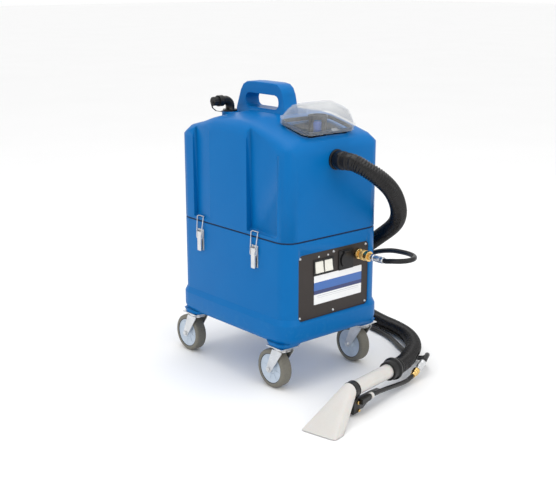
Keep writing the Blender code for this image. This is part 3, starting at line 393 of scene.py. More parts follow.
SUCTION_ROUTE = (
    (0.010, -0.3020, 0.5610), (0.036, -0.3250, 0.5380), (0.075, -0.3280, 0.5050),
    (0.125, -0.3040, 0.4620), (0.175, -0.2640, 0.4150), (0.213, -0.2120, 0.3720),
    (0.240, -0.1300, 0.3180), (0.255, -0.0450, 0.2600), (0.263, 0.0450, 0.1900),
    (0.262, 0.1350, 0.1200), (0.250, 0.2250, 0.0620), (0.235, 0.3100, 0.0310),
    (0.226, 0.3900, 0.0215), (0.240, 0.4750, 0.0215), (0.290, 0.5500, 0.0215),
    (0.365, 0.5950, 0.0215), (0.450, 0.5950, 0.0215), (0.530, 0.5500, 0.0215),
    (0.580, 0.4750, 0.0215), (0.592, 0.3900, 0.0215), (0.565, 0.3000, 0.0215),
    (0.505, 0.2150, 0.0215), (0.445, 0.1350, 0.0215), (0.402, 0.0500, 0.0215),
    (0.381, -0.0300, 0.0215), (0.372, -0.0880, 0.0215), (0.354, -0.1440, 0.0225),
    (0.3128, -0.2042, 0.0290), (0.2556, -0.2606, 0.0390), (0.1940, -0.3055, 0.0490),
    (0.1380, -0.3390, 0.0550),
)
SOLUTION_ROUTE = (
    (0.0825, -0.3340, 0.3260), (0.088, -0.3520, 0.3285), (0.102, -0.3655, 0.3305),
    (0.122, -0.3660, 0.3310), (0.141, -0.3520, 0.3305), (0.156, -0.3260, 0.3285),
    (0.169, -0.2860, 0.3240), (0.181, -0.2320, 0.3150), (0.190, -0.1700, 0.2960),
    (0.196, -0.1100, 0.2640), (0.201, -0.0550, 0.2250), (0.207, 0.0150, 0.1560),
    (0.216, 0.0800, 0.0880), (0.230, 0.1400, 0.0370), (0.250, 0.1950, 0.0115),
    (0.278, 0.2500, 0.0068), (0.288, 0.3200, 0.0068), (0.288, 0.4000, 0.0068),
    (0.315, 0.4750, 0.0068), (0.370, 0.5250, 0.0068), (0.440, 0.5270, 0.0068),
    (0.500, 0.4820, 0.0068), (0.528, 0.4100, 0.0068), (0.515, 0.3250, 0.0068),
    (0.466, 0.2400, 0.0068), (0.412, 0.1580, 0.0068), (0.371, 0.0720, 0.0068),
    (0.352, 0.0000, 0.0068), (0.343, -0.0550, 0.0068), (0.331, -0.1000, 0.0068),
    (0.313, -0.1400, 0.0068), (0.294, -0.1750, 0.0068), (0.277, -0.2100, 0.0068),
    (0.268, -0.2430, 0.0069), (0.262, -0.2720, 0.0100), (0.255, -0.2970, 0.0190),
    (0.243, -0.3180, 0.0330), (0.225, -0.3350, 0.0455),
)
TOOL_TURN = math.radians(12.2)
TOOL_AT = place(-0.2553, -0.4305, 0.0)
TOOL = Matrix.Translation(TOOL_AT) @ Matrix.Rotation(TOOL_TURN, 4, "Z")
NECK = Vector((0.128, 0.0, 0.0645))
TUBE_END = Vector((0.322, 0.0, 0.0575))
TUBE_WAY = (TUBE_END - NECK).normalized()
PIPE_SIDE = -0.0175
SWIVEL_START = TOOL @ Vector((0.3982, PIPE_SIDE, 0.0199))
SWIVEL_WAY = (TOOL @ Vector((0.455, PIPE_SIDE, 0.0410)) - SWIVEL_START).normalized()
FRONT = -0.215
PORT = place(0.0, FRONT, 0.5725)
COUPLER = place(0.082, -0.2129, 0.3215)
OUT = Vector((0.0, -1.0, 0.0))


CUFF_LENGTH, COLLAR_PAST_TUBE = 0.0468, 0.0273
PLUG_LENGTH, SWIVEL_LENGTH = 0.0933, 0.0586


def hose_path(start, start_way, route, end, end_way, straight, spacing):
    """A hose's middle line: straight out of its first fitting, along the route, straight into the last."""
    first, last = start + start_way * straight, end + end_way * straight
    moved = [place(*point) for point in route]
    return [start, *even_path([first, *moved, last], spacing), end]


tool_way = TOOL.to_3x3() @ TUBE_WAY
cuff_end = PORT + OUT * CUFF_LENGTH
collar_end = TOOL @ (TUBE_END + TUBE_WAY * COLLAR_PAST_TUBE)
suction_path = hose_path(cuff_end, OUT, SUCTION_ROUTE, collar_end, tool_way, 0.014, 0.004)
plug_end = COUPLER + OUT * PLUG_LENGTH
ferrule_end = SWIVEL_START + SWIVEL_WAY * SWIVEL_LENGTH
solution_path = hose_path(plug_end, OUT, SOLUTION_ROUTE, ferrule_end, SWIVEL_WAY, 0.006, 0.005)
print("suction hose", round(length_of(suction_path), 3), "m")
print("solution hose", round(length_of(solution_path), 3), "m")

# %% [markdown]
# The suction hose is a wound plastic spiral: a rib about every 6.6 mm. That is a shape which
# follows a rule along a path, so Geometry Nodes make it. The path is cut finely, and a round
# profile is carried along it, at a scale that rises and falls with the distance.


# %% A hose by Geometry Nodes
def geo(tree, kind, settings=None, inputs=None):
    """Adds one geometry node: settings first, then the values or links of its sockets."""
    made = tree.nodes.new(kind)
    for name, value in (settings or {}).items():
        setattr(made, name, value)
    for socket, value in (inputs or {}).items():
        if isinstance(value, bpy.types.NodeSocket):
            tree.links.new(value, made.inputs[socket])
        else:
            made.inputs[socket].default_value = value
    return made


def new_tree(name, **inputs):
    """An empty tree with one named number for each size, and the identifiers of those numbers."""
    tree = bpy.data.node_groups.new(name, "GeometryNodeTree")
    tree.interface.new_socket("Geometry", in_out="INPUT", socket_type="NodeSocketGeometry")
    tree.interface.new_socket("Geometry", in_out="OUTPUT", socket_type="NodeSocketGeometry")
    ids = {}
    for label, value in inputs.items():
        label = label.replace("_", " ")
        made = tree.interface.new_socket(label, in_out="INPUT", socket_type="NodeSocketFloat")
        made.default_value = value
        ids[label] = made.identifier
    return tree, ids


def finish_tree(tree, geometry, material, smooth=False):
    """Makes every copy real and gives it its finish."""
    last = geo(tree, "GeometryNodeRealizeInstances", {}, {0: geometry})
    if smooth:
        last = geo(tree, "GeometryNodeSetShadeSmooth", {}, {0: last.outputs[0]})
    coat = geo(tree, "GeometryNodeSetMaterial", {}, {0: last.outputs[0], "Material": material})
    geo(tree, "NodeGroupOutput", {}, {0: coat.outputs[0]})


HOSE_SIDES = 24


def hose_tree(material):
    tree, ids = new_tree("ribbed_hose", Radius=0.02, Rib_Depth=0.001, Rib_Pitch=0.0075, Step=0.0015)

    def sum_node(operation, *values):
        return geo(tree, "ShaderNodeMath", {"operation": operation}, dict(enumerate(values))).outputs[0]

    start = geo(tree, "NodeGroupInput")
    sizes = start.outputs
    cut = {0: sizes[0], "Length": sizes["Step"]}
    fine = geo(tree, "GeometryNodeResampleCurve", {"mode": "LENGTH"}, cut)
    along = geo(tree, "GeometryNodeSplineParameter")
    turns = sum_node("DIVIDE", along.outputs["Length"], sizes["Rib Pitch"])
    wave = sum_node("COSINE", sum_node("MULTIPLY", turns, 2 * math.pi))
    dip = sum_node("MULTIPLY_ADD", wave, 0.5, -0.5)
    ribs = sum_node("MULTIPLY_ADD", dip, sizes["Rib Depth"], sizes["Radius"])
    round_profile = {"Resolution": HOSE_SIDES, "Radius": 1.0}
    ring = geo(tree, "GeometryNodeCurvePrimitiveCircle", {}, round_profile)
    carry = geo(tree, "GeometryNodeCurveToMesh", {}, {
        0: fine.outputs[0], 1: ring.outputs[0], "Scale": ribs, "Fill Caps": True,
    })
    finish_tree(tree, carry.outputs[0], material, smooth=True)
    return tree, ids


def baked(obj):
    """The object's evaluated shape as a plain mesh object at the origin, with the modifiers gone."""
    bpy.context.view_layer.update()
    graph = bpy.context.evaluated_depsgraph_get()
    mesh = bpy.data.meshes.new_from_object(obj.evaluated_get(graph))
    mesh.transform(obj.matrix_world)
    name = obj.name
    bpy.data.objects.remove(obj)
    return put_in_scene(bpy.data.objects.new(name, mesh))


def poly_curve(name, path):
    curve = bpy.data.curves.new(name, "CURVE")
    curve.dimensions = "3D"
    spline = curve.splines.new("POLY")
    spline.points.add(len(path) - 1)
    for point, at in zip(spline.points, path):
        point.co = (*at, 1.0)
    return put_in_scene(bpy.data.objects.new(name, curve))


def with_tree(obj, tree, ids, **values):
    """Puts the tree on the object and sets its inputs by their identifiers, before it is evaluated."""
    step = obj.modifiers.new("nodes", "NODES")
    step.node_group = tree
    for name, value in values.items():
        step[ids[name.replace("_", " ")]] = value
    return obj


TOUCHING = 0.000005


def outwards(obj):
    """Joins touching corners and makes every face point out of the solid."""
    shape = bmesh.new()
    shape.from_mesh(obj.data)
    bmesh.ops.remove_doubles(shape, verts=shape.verts, dist=TOUCHING)
    bmesh.ops.recalc_face_normals(shape, faces=shape.faces)
    shape.to_mesh(obj.data)
    shape.free()
    return obj


SUCTION_SIZES = {"Radius": 0.0210, "Rib_Depth": 0.0026, "Rib_Pitch": 0.0066, "Step": 0.00132}
SOLUTION_SIZES = {"Radius": 0.00635, "Rib_Depth": 0.00012, "Rib_Pitch": 0.0040, "Step": 0.00200}


def hose(name, path, material, sizes):
    tree, ids = hose_tree(material)
    made = outwards(baked(with_tree(poly_curve(name, path), tree, ids, **sizes)))
    print(name, "faces", len(made.data.polygons), "size", [round(v, 3) for v in made.dimensions])
    return made


suction = hose("suction_hose", suction_path, HOSE, SUCTION_SIZES)
solution = hose("thin_hose", solution_path, PIPE, SOLUTION_SIZES)

# %% [markdown]
# Each hose is baked into a plain mesh where it lies, and the frame's own hose node is hidden.

# %% Hoses baked in place
FOLLOW = Vector((-0.45, -0.45, -0.77)).normalized()
for piece, node, end, reach in (
    (suction, "vacuum_hose", collar_end, 0.222),
    (solution, "solution_hose", ferrule_end, 0.190),
):
    end - FOLLOW * reach
    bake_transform(piece)
    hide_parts(node)
round(length_of(suction_path), 2)
round(length_of(solution_path), 2)

# %% [markdown]
# ## Turned pieces
# Wheels, tubes, collars, nuts and the float are round about one line. Each is a profile, outer side
# first, turned in fine steps, so that its rim looks round even close up. The frame's own version
# has fewer sides and is hidden.


# %% The lathe
ON_AXIS = 1e-7


def solid(name, shape, material):
    """The finished shape as an object of one finish, with its faces outwards."""
    bmesh.ops.recalc_face_normals(shape, faces=shape.faces)
    mesh = bpy.data.meshes.new(name)
    shape.to_mesh(mesh)
    shape.free()
    mesh.materials.append(material)
    return put_in_scene(bpy.data.objects.new(name, mesh))


def bridge(shape, low, high):
    """Faces between two rings of corners. A ring of one corner is a tip."""
    count = max(len(low), len(high))
    for i in range(count):
        j = (i + 1) % count
        corners = [low[i % len(low)], low[j % len(low)], high[j % len(high)], high[i % len(high)]]
        corners = list(dict.fromkeys(corners))
        if len(corners) > 2:
            shape.faces.new(corners)


def smoothed(made, edge):
    made.data.shade_smooth()
    made.data.set_sharp_from_angle(angle=math.radians(edge))
    return made


def turned(name, profile, at, way, material, closed=False, steps=64, edge=35):
    """A profile of (radius, height) points turned about the line through a point."""
    shape = bmesh.new()
    turn = Vector(way).to_track_quat("Z", "Y").to_matrix().to_4x4()
    turn.translation = at
    rings = []
    for radius, height in profile:
        if radius < ON_AXIS:
            rings.append([shape.verts.new(turn @ Vector((0.0, 0.0, height)))])
            continue
        angles = [2 * math.pi * step / steps for step in range(steps)]
        points = [Vector((radius * math.cos(a), radius * math.sin(a), height)) for a in angles]
        rings.append([shape.verts.new(turn @ point) for point in points])
    pairs = list(zip(rings, rings[1:]))
    if closed:
        pairs.append((rings[-1], rings[0]))
    for one, two in pairs:
        bridge(shape, one, two)
    return smoothed(solid(name, shape, material), edge)


def on_body(piece, body):
    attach(piece, body)
    return piece


def stands_for(piece, body, node):
    """The piece rides on the body and hides the frame's own node."""
    on_body(piece, body)
    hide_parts(node)


print("lathe ready")

# %% [markdown]
# A caster wheel is a grey rubber tyre bonded to a pale moulded hub, with a thin dark line where
# they meet. The tread is nearly flat with soft shoulders, and the hub is dished, with a raised boss
# round the axle. One material does both, by the distance from the axle, because a real wheel is
# moulded in one mould.


# %% Wheels
HUB_RADIUS, TREAD_INNER = 0.0372, 0.0392


def wheel_paint(name, axle):
    paint = Paint(name, 0.5)
    y, z = paint.parts(paint.centred(tuple(axle)))[1:]
    far = (y * y + z * z).to(0.5)
    mottle = paint.noise(60.0, 4.0)
    scuff = paint.noise(300.0, 3.0)
    hub = paint.blend(mottle, (0.42, 0.50, 0.60), (0.56, 0.63, 0.71))
    tyre = paint.blend(scuff, (0.125, 0.118, 0.098), (0.21, 0.20, 0.165))
    bond = paint.blend(far > HUB_RADIUS, hub, (0.030, 0.035, 0.042))
    paint.colour(paint.blend(far > TREAD_INNER, bond, tyre))
    paint.rough(0.40 + (far > TREAD_INNER) * 0.25 + mottle * 0.08)
    return paint.bump(scuff, 0.0004, 0.3).material


WHEEL_PROFILE = (
    (0.0395, 0.0152), (0.0440, 0.0155), (0.0472, 0.0148), (0.0492, 0.0128), (0.0500, 0.0095),
    (0.0500, -0.0095), (0.0492, -0.0128), (0.0472, -0.0148), (0.0440, -0.0155), (0.0395, -0.0152),
    (0.0385, -0.0142), (0.0365, -0.0136), (0.0340, -0.0112), (0.0200, -0.0100), (0.0150, -0.0110),
    (0.0130, -0.0158), (0.0115, -0.0170), (0.0050, -0.0170), (0.0050, 0.0170), (0.0115, 0.0170),
    (0.0130, 0.0158), (0.0150, 0.0110), (0.0200, 0.0100), (0.0340, 0.0112), (0.0365, 0.0136),
    (0.0385, 0.0142),
)
CORNERS = [(where, side) for side in ("left", "right") for where in ("front", "rear")]
for where, side in CORNERS:
    name = f"{where}_{side}"
    axle = middle_of(f"caster_wheel_{name}")
    finish = wheel_paint(f"tyre_{name}", axle)
    wheel = turned(f"wheel_{name}_tyre", WHEEL_PROFILE, axle, (1, 0, 0), finish, True)
    stands_for(wheel, f"wheel_{name}", f"caster_wheel_{name}")
print("wheels", len(CORNERS))

# %% [markdown]
# What repeats is made once and copied by Geometry Nodes: the screws of the panel, and the spokes of
# the hubs. The points say where, and a named input says how big.


# %% A tree that copies a fastener to points
HEAD_SIDES = 20


def screw_tree(name, material, turn):
    """A low coned head, one unit across and high, with a cross cut in it, copied to every point."""
    tree, ids = new_tree(name, Radius=0.003, Height=0.0015)
    start = geo(tree, "NodeGroupInput")

    def moved(node, height):
        inputs = {0: node.outputs[0], "Translation": (0.0, 0.0, height)}
        return geo(tree, "GeometryNodeTransform", {}, inputs)

    head = geo(tree, "GeometryNodeMeshCone", {"fill_type": "NGON"}, {
        "Vertices": HEAD_SIDES, "Radius Top": 0.62, "Radius Bottom": 1.0, "Depth": 1.0, "Side Segments": 1,
    })
    skirt = geo(tree, "GeometryNodeMeshCylinder", {"fill_type": "NGON"}, {
        "Vertices": HEAD_SIDES, "Radius": 1.0, "Depth": 0.5,
    })
    low = moved(skirt, -0.25)
    cross = {"operation": "DIFFERENCE", "solver": "EXACT"}
    cut = geo(tree, "GeometryNodeMeshBoolean", cross, {0: head.outputs[0]})
    for size in ((1.1, 0.16, 0.5), (0.16, 1.1, 0.5)):
        bar = moved(geo(tree, "GeometryNodeMeshCube", {}, {"Size": size}), 1.0)
        tree.links.new(bar.outputs[0], cut.inputs["Mesh 2"])
    both = geo(tree, "GeometryNodeJoinGeometry")
    tree.links.new(cut.outputs[0], both.inputs[0])
    tree.links.new(low.outputs[0], both.inputs[0])
    radius, height = start.outputs["Radius"], start.outputs["Height"]
    size = geo(tree, "ShaderNodeCombineXYZ", {}, {0: radius, 1: radius, 2: height})
    copy = geo(tree, "GeometryNodeInstanceOnPoints", {}, {
        "Points": start.outputs[0], "Instance": both.outputs[0], "Rotation": turn, "Scale": size.outputs[0],
    })
    finish_tree(tree, copy.outputs[0], material)
    return tree, ids


def at_points(name, points):
    mesh = bpy.data.meshes.new(name)
    mesh.from_pydata([tuple(p) for p in points], [], [])
    return put_in_scene(bpy.data.objects.new(name, mesh))


FACE = -0.2129
FACING_FRONT = (math.pi / 2, 0.0, 0.0)
SCREW_RADIUS, SCREW_HEIGHT = 0.0034, 0.0020
columns, rows = (-0.1145, -0.002, 0.1110), (0.3415, 0.1895)
screw_places = [place(x, FACE - 0.0004, z) for x in columns for z in rows]
tree, ids = screw_tree("panel_screws", ZINC, FACING_FRONT)
carrier = with_tree(
    at_points("panel_screws", screw_places), tree, ids, Radius=SCREW_RADIUS, Height=SCREW_HEIGHT
)
on_body(outwards(baked(carrier)), "machine")
print("panel screws", len(screw_places))

# %% [markdown]
# The hubs have eight shallow spokes between the boss and the rim. Both faces of each wheel get
# them, so each wheel has one piece with sixteen short bars, made by turning one bar about the axle.
# A six-sided nut closes each end of the axle.


# %% Hub spokes
SPOKES, SPOKE_LENGTH, SPOKE_DEPTH, SPOKE_WIDTH = 8, 0.0205, 0.0022, 0.0024
SPOKE_FROM_AXLE, SPOKE_FROM_MIDDLE, FIRST_SPOKE = 0.0245, 0.0104, 0.2
NUT_FROM_MIDDLE = 0.0235
NUT_PROFILE = ((0.0, 0.0022), (0.0048, 0.0022), (0.0062, 0.0012), (0.0064, -0.0022), (0.0, -0.0022))


def spoke_tree(material):
    tree, ids = new_tree("hub_spokes", Length=0.019)
    start = geo(tree, "NodeGroupInput")
    sides = {0: SPOKE_DEPTH, 1: start.outputs["Length"], 2: SPOKE_WIDTH}
    size = geo(tree, "ShaderNodeCombineXYZ", {}, sides)
    bar = geo(tree, "GeometryNodeMeshCube", {}, {"Size": size.outputs[0]})
    kind = {"data_type": "FLOAT_VECTOR"}
    aim = geo(tree, "GeometryNodeInputNamedAttribute", kind, {"Name": "turn"})
    copy = geo(tree, "GeometryNodeInstanceOnPoints", {}, {
        "Points": start.outputs[0], "Instance": bar.outputs[0], "Rotation": aim.outputs[0],
    })
    finish_tree(tree, copy.outputs[0], material)
    return tree, ids


def spokes_at(name, axle):
    """A point for each spoke, with its turn about the axle."""
    points, turns = [], []
    for step in range(SPOKES):
        angle = 2 * math.pi * step / SPOKES + FIRST_SPOKE
        up, across = SPOKE_FROM_AXLE * math.sin(angle), SPOKE_FROM_AXLE * math.cos(angle)
        for out in (-SPOKE_FROM_MIDDLE, SPOKE_FROM_MIDDLE):
            points.append(axle + Vector((out, across, up)))
            turns.append((angle, 0.0, 0.0))
    holder = at_points(name, points)
    attribute = holder.data.attributes.new("turn", "FLOAT_VECTOR", "POINT")
    for entry, turn in zip(attribute.data, turns):
        entry.vector = turn
    return holder


for where, side in CORNERS:
    name = f"{where}_{side}"
    axle = middle_of(f"caster_wheel_{name}")
    tree, ids = spoke_tree(bpy.data.materials[f"tyre_{name}"])
    carrier = with_tree(spokes_at(f"spokes_{name}", axle), tree, ids, Length=SPOKE_LENGTH)
    on_body(outwards(baked(carrier)), f"wheel_{name}")
    for way, end in ((-1, "in"), (1, "out")):
        at = axle + Vector((NUT_FROM_MIDDLE * way, 0.0, 0.0))
        nut = turned(f"axle_nut_{name}_{end}", NUT_PROFILE, at, (way, 0, 0), ZINC, steps=6, edge=20)
        on_body(nut, f"fork_{name}")
print("spokes and axle nuts on", len(CORNERS), "wheels")

# %% [markdown]
# ## The hand tool's tube, the hose's cuffs and the brass
# These are the frame's own profiles in finer steps, with the grip ribs and knurls that the frame
# leaves out.

# %% Tool tube, band and collar
tube_start = TOOL @ (NECK + TUBE_WAY * 0.0006)
tube_length = (TUBE_END - NECK).length - 0.0006
stands_for(turned("tool_tube_fine", (
    (0.0180, tube_length), (0.0180, 0.0), (0.0158, 0.0), (0.0158, tube_length),
), tube_start, tool_way, WHITE, True), "hand_tool", "tool_tube")
stands_for(turned("tool_band_fine", (
    (0.0200, 0.0200), (0.0208, 0.0192), (0.0210, 0.0170), (0.0200, 0.0160), (0.0200, 0.0040),
    (0.0210, 0.0030), (0.0208, 0.0008), (0.0200, 0.0), (0.0185, 0.0), (0.0185, 0.0200),
), TOOL @ (NECK + TUBE_WAY * 0.0016), tool_way, BLACK, True), "hand_tool", "tool_band")
collar_profile = [(0.0, 0.0480), (0.0222, 0.0480), (0.0228, 0.0470)]
for rib in range(4):
    top = 0.0455 - rib * 0.0038
    collar_profile += [(0.0228, top), (0.0216, top - 0.0008), (0.0216, top - 0.0020), (0.0228, top - 0.0028)]
collar_profile += [
    (0.0228, 0.0300), (0.0280, 0.0294), (0.0285, 0.0285), (0.0285, 0.0245), (0.0278, 0.0236),
    (0.0242, 0.0220), (0.0240, 0.0010), (0.0235, 0.0), (0.0183, 0.0), (0.0183, 0.0215),
    (0.0, 0.0215),
]
collar_at = TOOL @ (TUBE_END - TUBE_WAY * 0.0210)
collar = turned("tool_collar_fine", collar_profile, collar_at, tool_way, BLACK)
stands_for(collar, "hand_tool", "tool_collar")
print("collar at", tuple(round(v, 3) for v in collar_at))

# %% Hose port and cuff
stands_for(turned("hose_port_fine", (
    (0.0240, 0.0045), (0.0252, 0.0038), (0.0255, 0.0003), (0.0202, 0.0003), (0.0202, -0.0220),
    (0.0172, -0.0220), (0.0172, 0.0045),
), PORT, OUT, BLACK, True), "machine", "hose_port")
cuff_profile = [(0.0, 0.0465), (0.0205, 0.0465), (0.0215, 0.0455)]
for rib in range(5):
    top = 0.0435 - rib * 0.0030
    cuff_profile += [(0.0215, top), (0.0205, top - 0.0006), (0.0205, top - 0.0016), (0.0215, top - 0.0022)]
cuff_profile += [(0.0225, 0.0285), (0.0230, 0.0270), (0.0230, 0.0060), (0.0225, 0.0048), (0.0, 0.0048)]
cuff = turned("hose_cuff_fine", cuff_profile, PORT, OUT, HOSE)
stands_for(cuff, "machine", "hose_cuff")
print("port at", tuple(round(v, 3) for v in PORT))

# %% Quick coupler, sleeve and ferrules
stands_for(turned("coupler_body_fine", (
    (0.0, 0.0490), (0.0078, 0.0490), (0.0086, 0.0480), (0.0086, 0.0090), (0.0128, 0.0086),
    (0.0135, 0.0076), (0.0135, 0.0012), (0.0128, 0.0003), (0.0080, 0.0003), (0.0080, -0.0140),
    (0.0, -0.0140),
), COUPLER, OUT, BRASS), "machine", "coupler_body")
sleeve_profile = [(0.0126, 0.0430), (0.0134, 0.0422), (0.0134, 0.0352), (0.0122, 0.0342), (0.0122, 0.0290)]
for ridge in range(5):
    top = 0.0284 - ridge * 0.0019
    sleeve_profile += [(0.0134, top), (0.0134, top - 0.0009), (0.0128, top - 0.0013), (0.0128, top - 0.0017)]
sleeve_profile += [(0.0132, 0.0186), (0.0126, 0.0180), (0.00895, 0.0180), (0.00895, 0.0430)]
sleeve = turned("coupler_sleeve_fine", sleeve_profile, COUPLER, OUT, BRASS, True)
stands_for(sleeve, "sleeve_body", "coupler_sleeve")
stands_for(turned("solution_ferrule_fine", (
    (0.0, 0.0930), (0.0076, 0.0930), (0.0084, 0.0915), (0.0084, 0.0850), (0.0080, 0.0840),
    (0.0080, 0.0820), (0.0084, 0.0810), (0.0084, 0.0660), (0.0072, 0.0645), (0.0072, 0.0600),
    (0.0088, 0.0590), (0.0088, 0.0510), (0.0078, 0.0493), (0.0, 0.0493),
), COUPLER, OUT, ZINC), "machine", "solution_ferrule")
stands_for(turned("tool_swivel_fine", (
    (0.0, 0.0260), (0.0062, 0.0260), (0.0072, 0.0250), (0.0088, 0.0232), (0.0095, 0.0212),
    (0.0095, 0.0180), (0.0090, 0.0172), (0.0090, 0.0150), (0.0095, 0.0142), (0.0095, 0.0102),
    (0.0080, 0.0080), (0.0072, 0.0070), (0.0072, 0.0010), (0.0068, 0.0), (0.0, 0.0),
), SWIVEL_START, SWIVEL_WAY, BRASS), "hand_tool", "tool_swivel")
stands_for(turned("tool_ferrule_fine", (
    (0.0, 0.0320), (0.0078, 0.0320), (0.0084, 0.0305), (0.0084, 0.0240), (0.0080, 0.0230),
    (0.0080, 0.0210), (0.0084, 0.0200), (0.0084, 0.0060), (0.0070, 0.0045), (0.0070, 0.0003),
    (0.0, 0.0003),
), SWIVEL_START + SWIVEL_WAY * 0.0260, SWIVEL_WAY, ZINC), "hand_tool", "tool_ferrule")
BALL_RADIUS, BALL_STEPS = 0.020, 24
tilts = [math.pi * step / BALL_STEPS for step in range(BALL_STEPS + 1)]
ball_profile = [(BALL_RADIUS * math.sin(tilt), BALL_RADIUS * math.cos(tilt)) for tilt in tilts]
ball = turned("float_fine", ball_profile, middle_of("float_ball"), (0, 0, 1), FLOAT)
stands_for(ball, "float_body", "float_ball")
print("brass and ferrules done")

# %% [markdown]
# ## Pieces that keep their CAD shape
# The tank, the body, the panel and the rest are right as they are, but the frame's meshes are loose
# triangles. A copy is merged and shaded smooth up to a set angle, so that a curved wall reads as
# one curve and an edge stays an edge. The copy stands for its node.


# %% Smooth copies
def level(edge):
    return abs(edge.z) < 0.1 * edge.length


def upright(edge):
    return abs(edge.z) > 0.9 * edge.length


def sharpen(mesh, runs, softest, inside):
    """Marks creases that run level or upright and are too soft for the smoothing angle, but read as edges."""
    shape = bmesh.new()
    shape.from_mesh(mesh)
    wanted = set()
    for edge in shape.edges:
        if len(edge.link_faces) != 2:
            continue
        along = edge.verts[1].co - edge.verts[0].co
        centre = (edge.verts[0].co + edge.verts[1].co) / 2 - MIDDLE
        if edge.calc_face_angle(0.0) > math.radians(softest) and runs(along) and inside(centre):
            wanted.add(edge.index)
    shape.free()
    sharp = mesh.attributes.get("sharp_edge") or mesh.attributes.new("sharp_edge", "BOOLEAN", "EDGE")
    for index in wanted:
        sharp.data[index].value = True
    print(mesh.name, "creases", len(wanted))


SAME_POINT = 0.00002
FLAT, BEVELLED_FROM = math.radians(1.0), math.radians(40)


def finished(node, body, material, angle, bevel=0.0, crisp=None):
    """A merged, smooth copy of a node that rides on its body in the node's place."""
    shape = bmesh.new()
    shape.from_mesh(nodes[node].data)
    bmesh.ops.remove_doubles(shape, verts=shape.verts, dist=SAME_POINT)
    bmesh.ops.dissolve_degenerate(shape, edges=shape.edges, dist=SAME_POINT)
    bmesh.ops.dissolve_limit(shape, angle_limit=FLAT, verts=shape.verts, edges=shape.edges)
    bmesh.ops.triangulate(shape, faces=[face for face in shape.faces if len(face.verts) > 4])
    mesh = bpy.data.meshes.new(node + "_skin")
    shape.to_mesh(mesh)
    shape.free()
    mesh.materials.append(material)
    made = smoothed(put_in_scene(bpy.data.objects.new(node + "_skin", mesh)), angle)
    if crisp:
        sharpen(mesh, *crisp)
    if bevel:
        step = made.modifiers.new("edges", "BEVEL")
        step.width = bevel
        step.segments = 2
        step.limit_method = "ANGLE"
        step.angle_limit = BEVELLED_FROM
        step.harden_normals = True
    stands_for(made, body, node)


def on_flat_side(at):
    return abs(at.x) > 0.12 and -0.174 < at.y < 0.174


def above_plinth(at):
    return at.z > 0.15


finished("tank", "machine", BLUE, 28.0, crisp=(upright, 4.0, on_flat_side))
finished("base_housing", "machine", BLUE, 28.0, crisp=(level, 12.0, above_plinth))
finished("lid", "lid_body", CLEAR, 50.0)
finished("tool_nozzle", "hand_tool", WHITE, 40.0)
finished("drain_elbow", "machine", BLACK, 40.0)
finished("trigger_lever", "trigger_body", GREY, 30.0, 0.0008)
print("smooth copies made")

# %% Finishes for the nodes that stay
STAY = {
    "control_panel": PANEL, "switch_frame": BLACK, "power_socket": BLACK, "socket_lid": BLACK,
    "power_gland": BLACK, "drain_cap": BLACK, "float_cage": BLACK, "tool_valve": BLACK, "tool_pipe": PIPE,
    "rocker_left": SWITCH, "rocker_right": SWITCH, "seam_gasket": SEAM, "lid_seal": SEAL,
    "vacuum_motor": ALLOY, "solution_pump": GREY, "chassis_plate": ZINC,
}
ROUNDED = ("caster_fork", "latch_bail", "tool_pipe", "drain_cap", "socket_lid", "power_gland")
for where, side in CORNERS:
    for part in ("caster_plate", "caster_fork", "latch_plate", "latch_lever", "latch_bail"):
        STAY[f"{part}_{where}_{side}"] = ZINC
for name, material in STAY.items():
    nodes[name].data.materials.clear()
    nodes[name].data.materials.append(material)
    if name.startswith(ROUNDED):
        nodes[name].data.shade_smooth()
print("finishes set on", len(STAY), "nodes")

# %% [markdown]
# ## Small things on the panel
# The sign on the panel is a printed plate: white above, two blue bands, and a white strip with fine
# rules below. It carries no words here. Its bands are painted by height, so the print is sharp at
# any size.


# %% Sign plate
SIGN_SIZE, SIGN_X, SIGN_Z = (0.165, 0.074), 0.0145, 0.252
BLUE_TOP, BLUE_MIDDLE, BLUE_LOW, RULE_HALF = 0.0200, -0.0010, -0.0110, 0.072


def sign_paint():
    """Bands by the height above the sign's middle, from the upper blue band down to the rules."""
    paint = Paint("sign_print", 0.30, Coat_Weight=0.4, Coat_Roughness=0.08)
    x, _, z = paint.parts(paint.centred(tuple(place(SIGN_X, FACE, SIGN_Z))))
    mottle = paint.noise(90.0, 3.0)
    white = paint.blend(mottle, (0.80, 0.81, 0.82), (0.88, 0.88, 0.88))
    middle = paint.blend((z < BLUE_TOP) * (z > BLUE_MIDDLE), white, (0.020, 0.120, 0.420))
    deep = paint.blend((z < BLUE_MIDDLE) * (z > BLUE_LOW), middle, (0.006, 0.020, 0.130))
    rules = (z < -0.0150) * (z > -0.0165) + (z < -0.0200) * (z > -0.0208)
    short = (x < RULE_HALF) * (x > -RULE_HALF)
    paint.colour(paint.blend(rules * short * 0.55, deep, (0.25, 0.27, 0.32)))
    paint.rough(0.26 + mottle * 0.08)
    return paint.bump(mottle, 0.0001, 0.1).material


CORNER_STEPS = 6


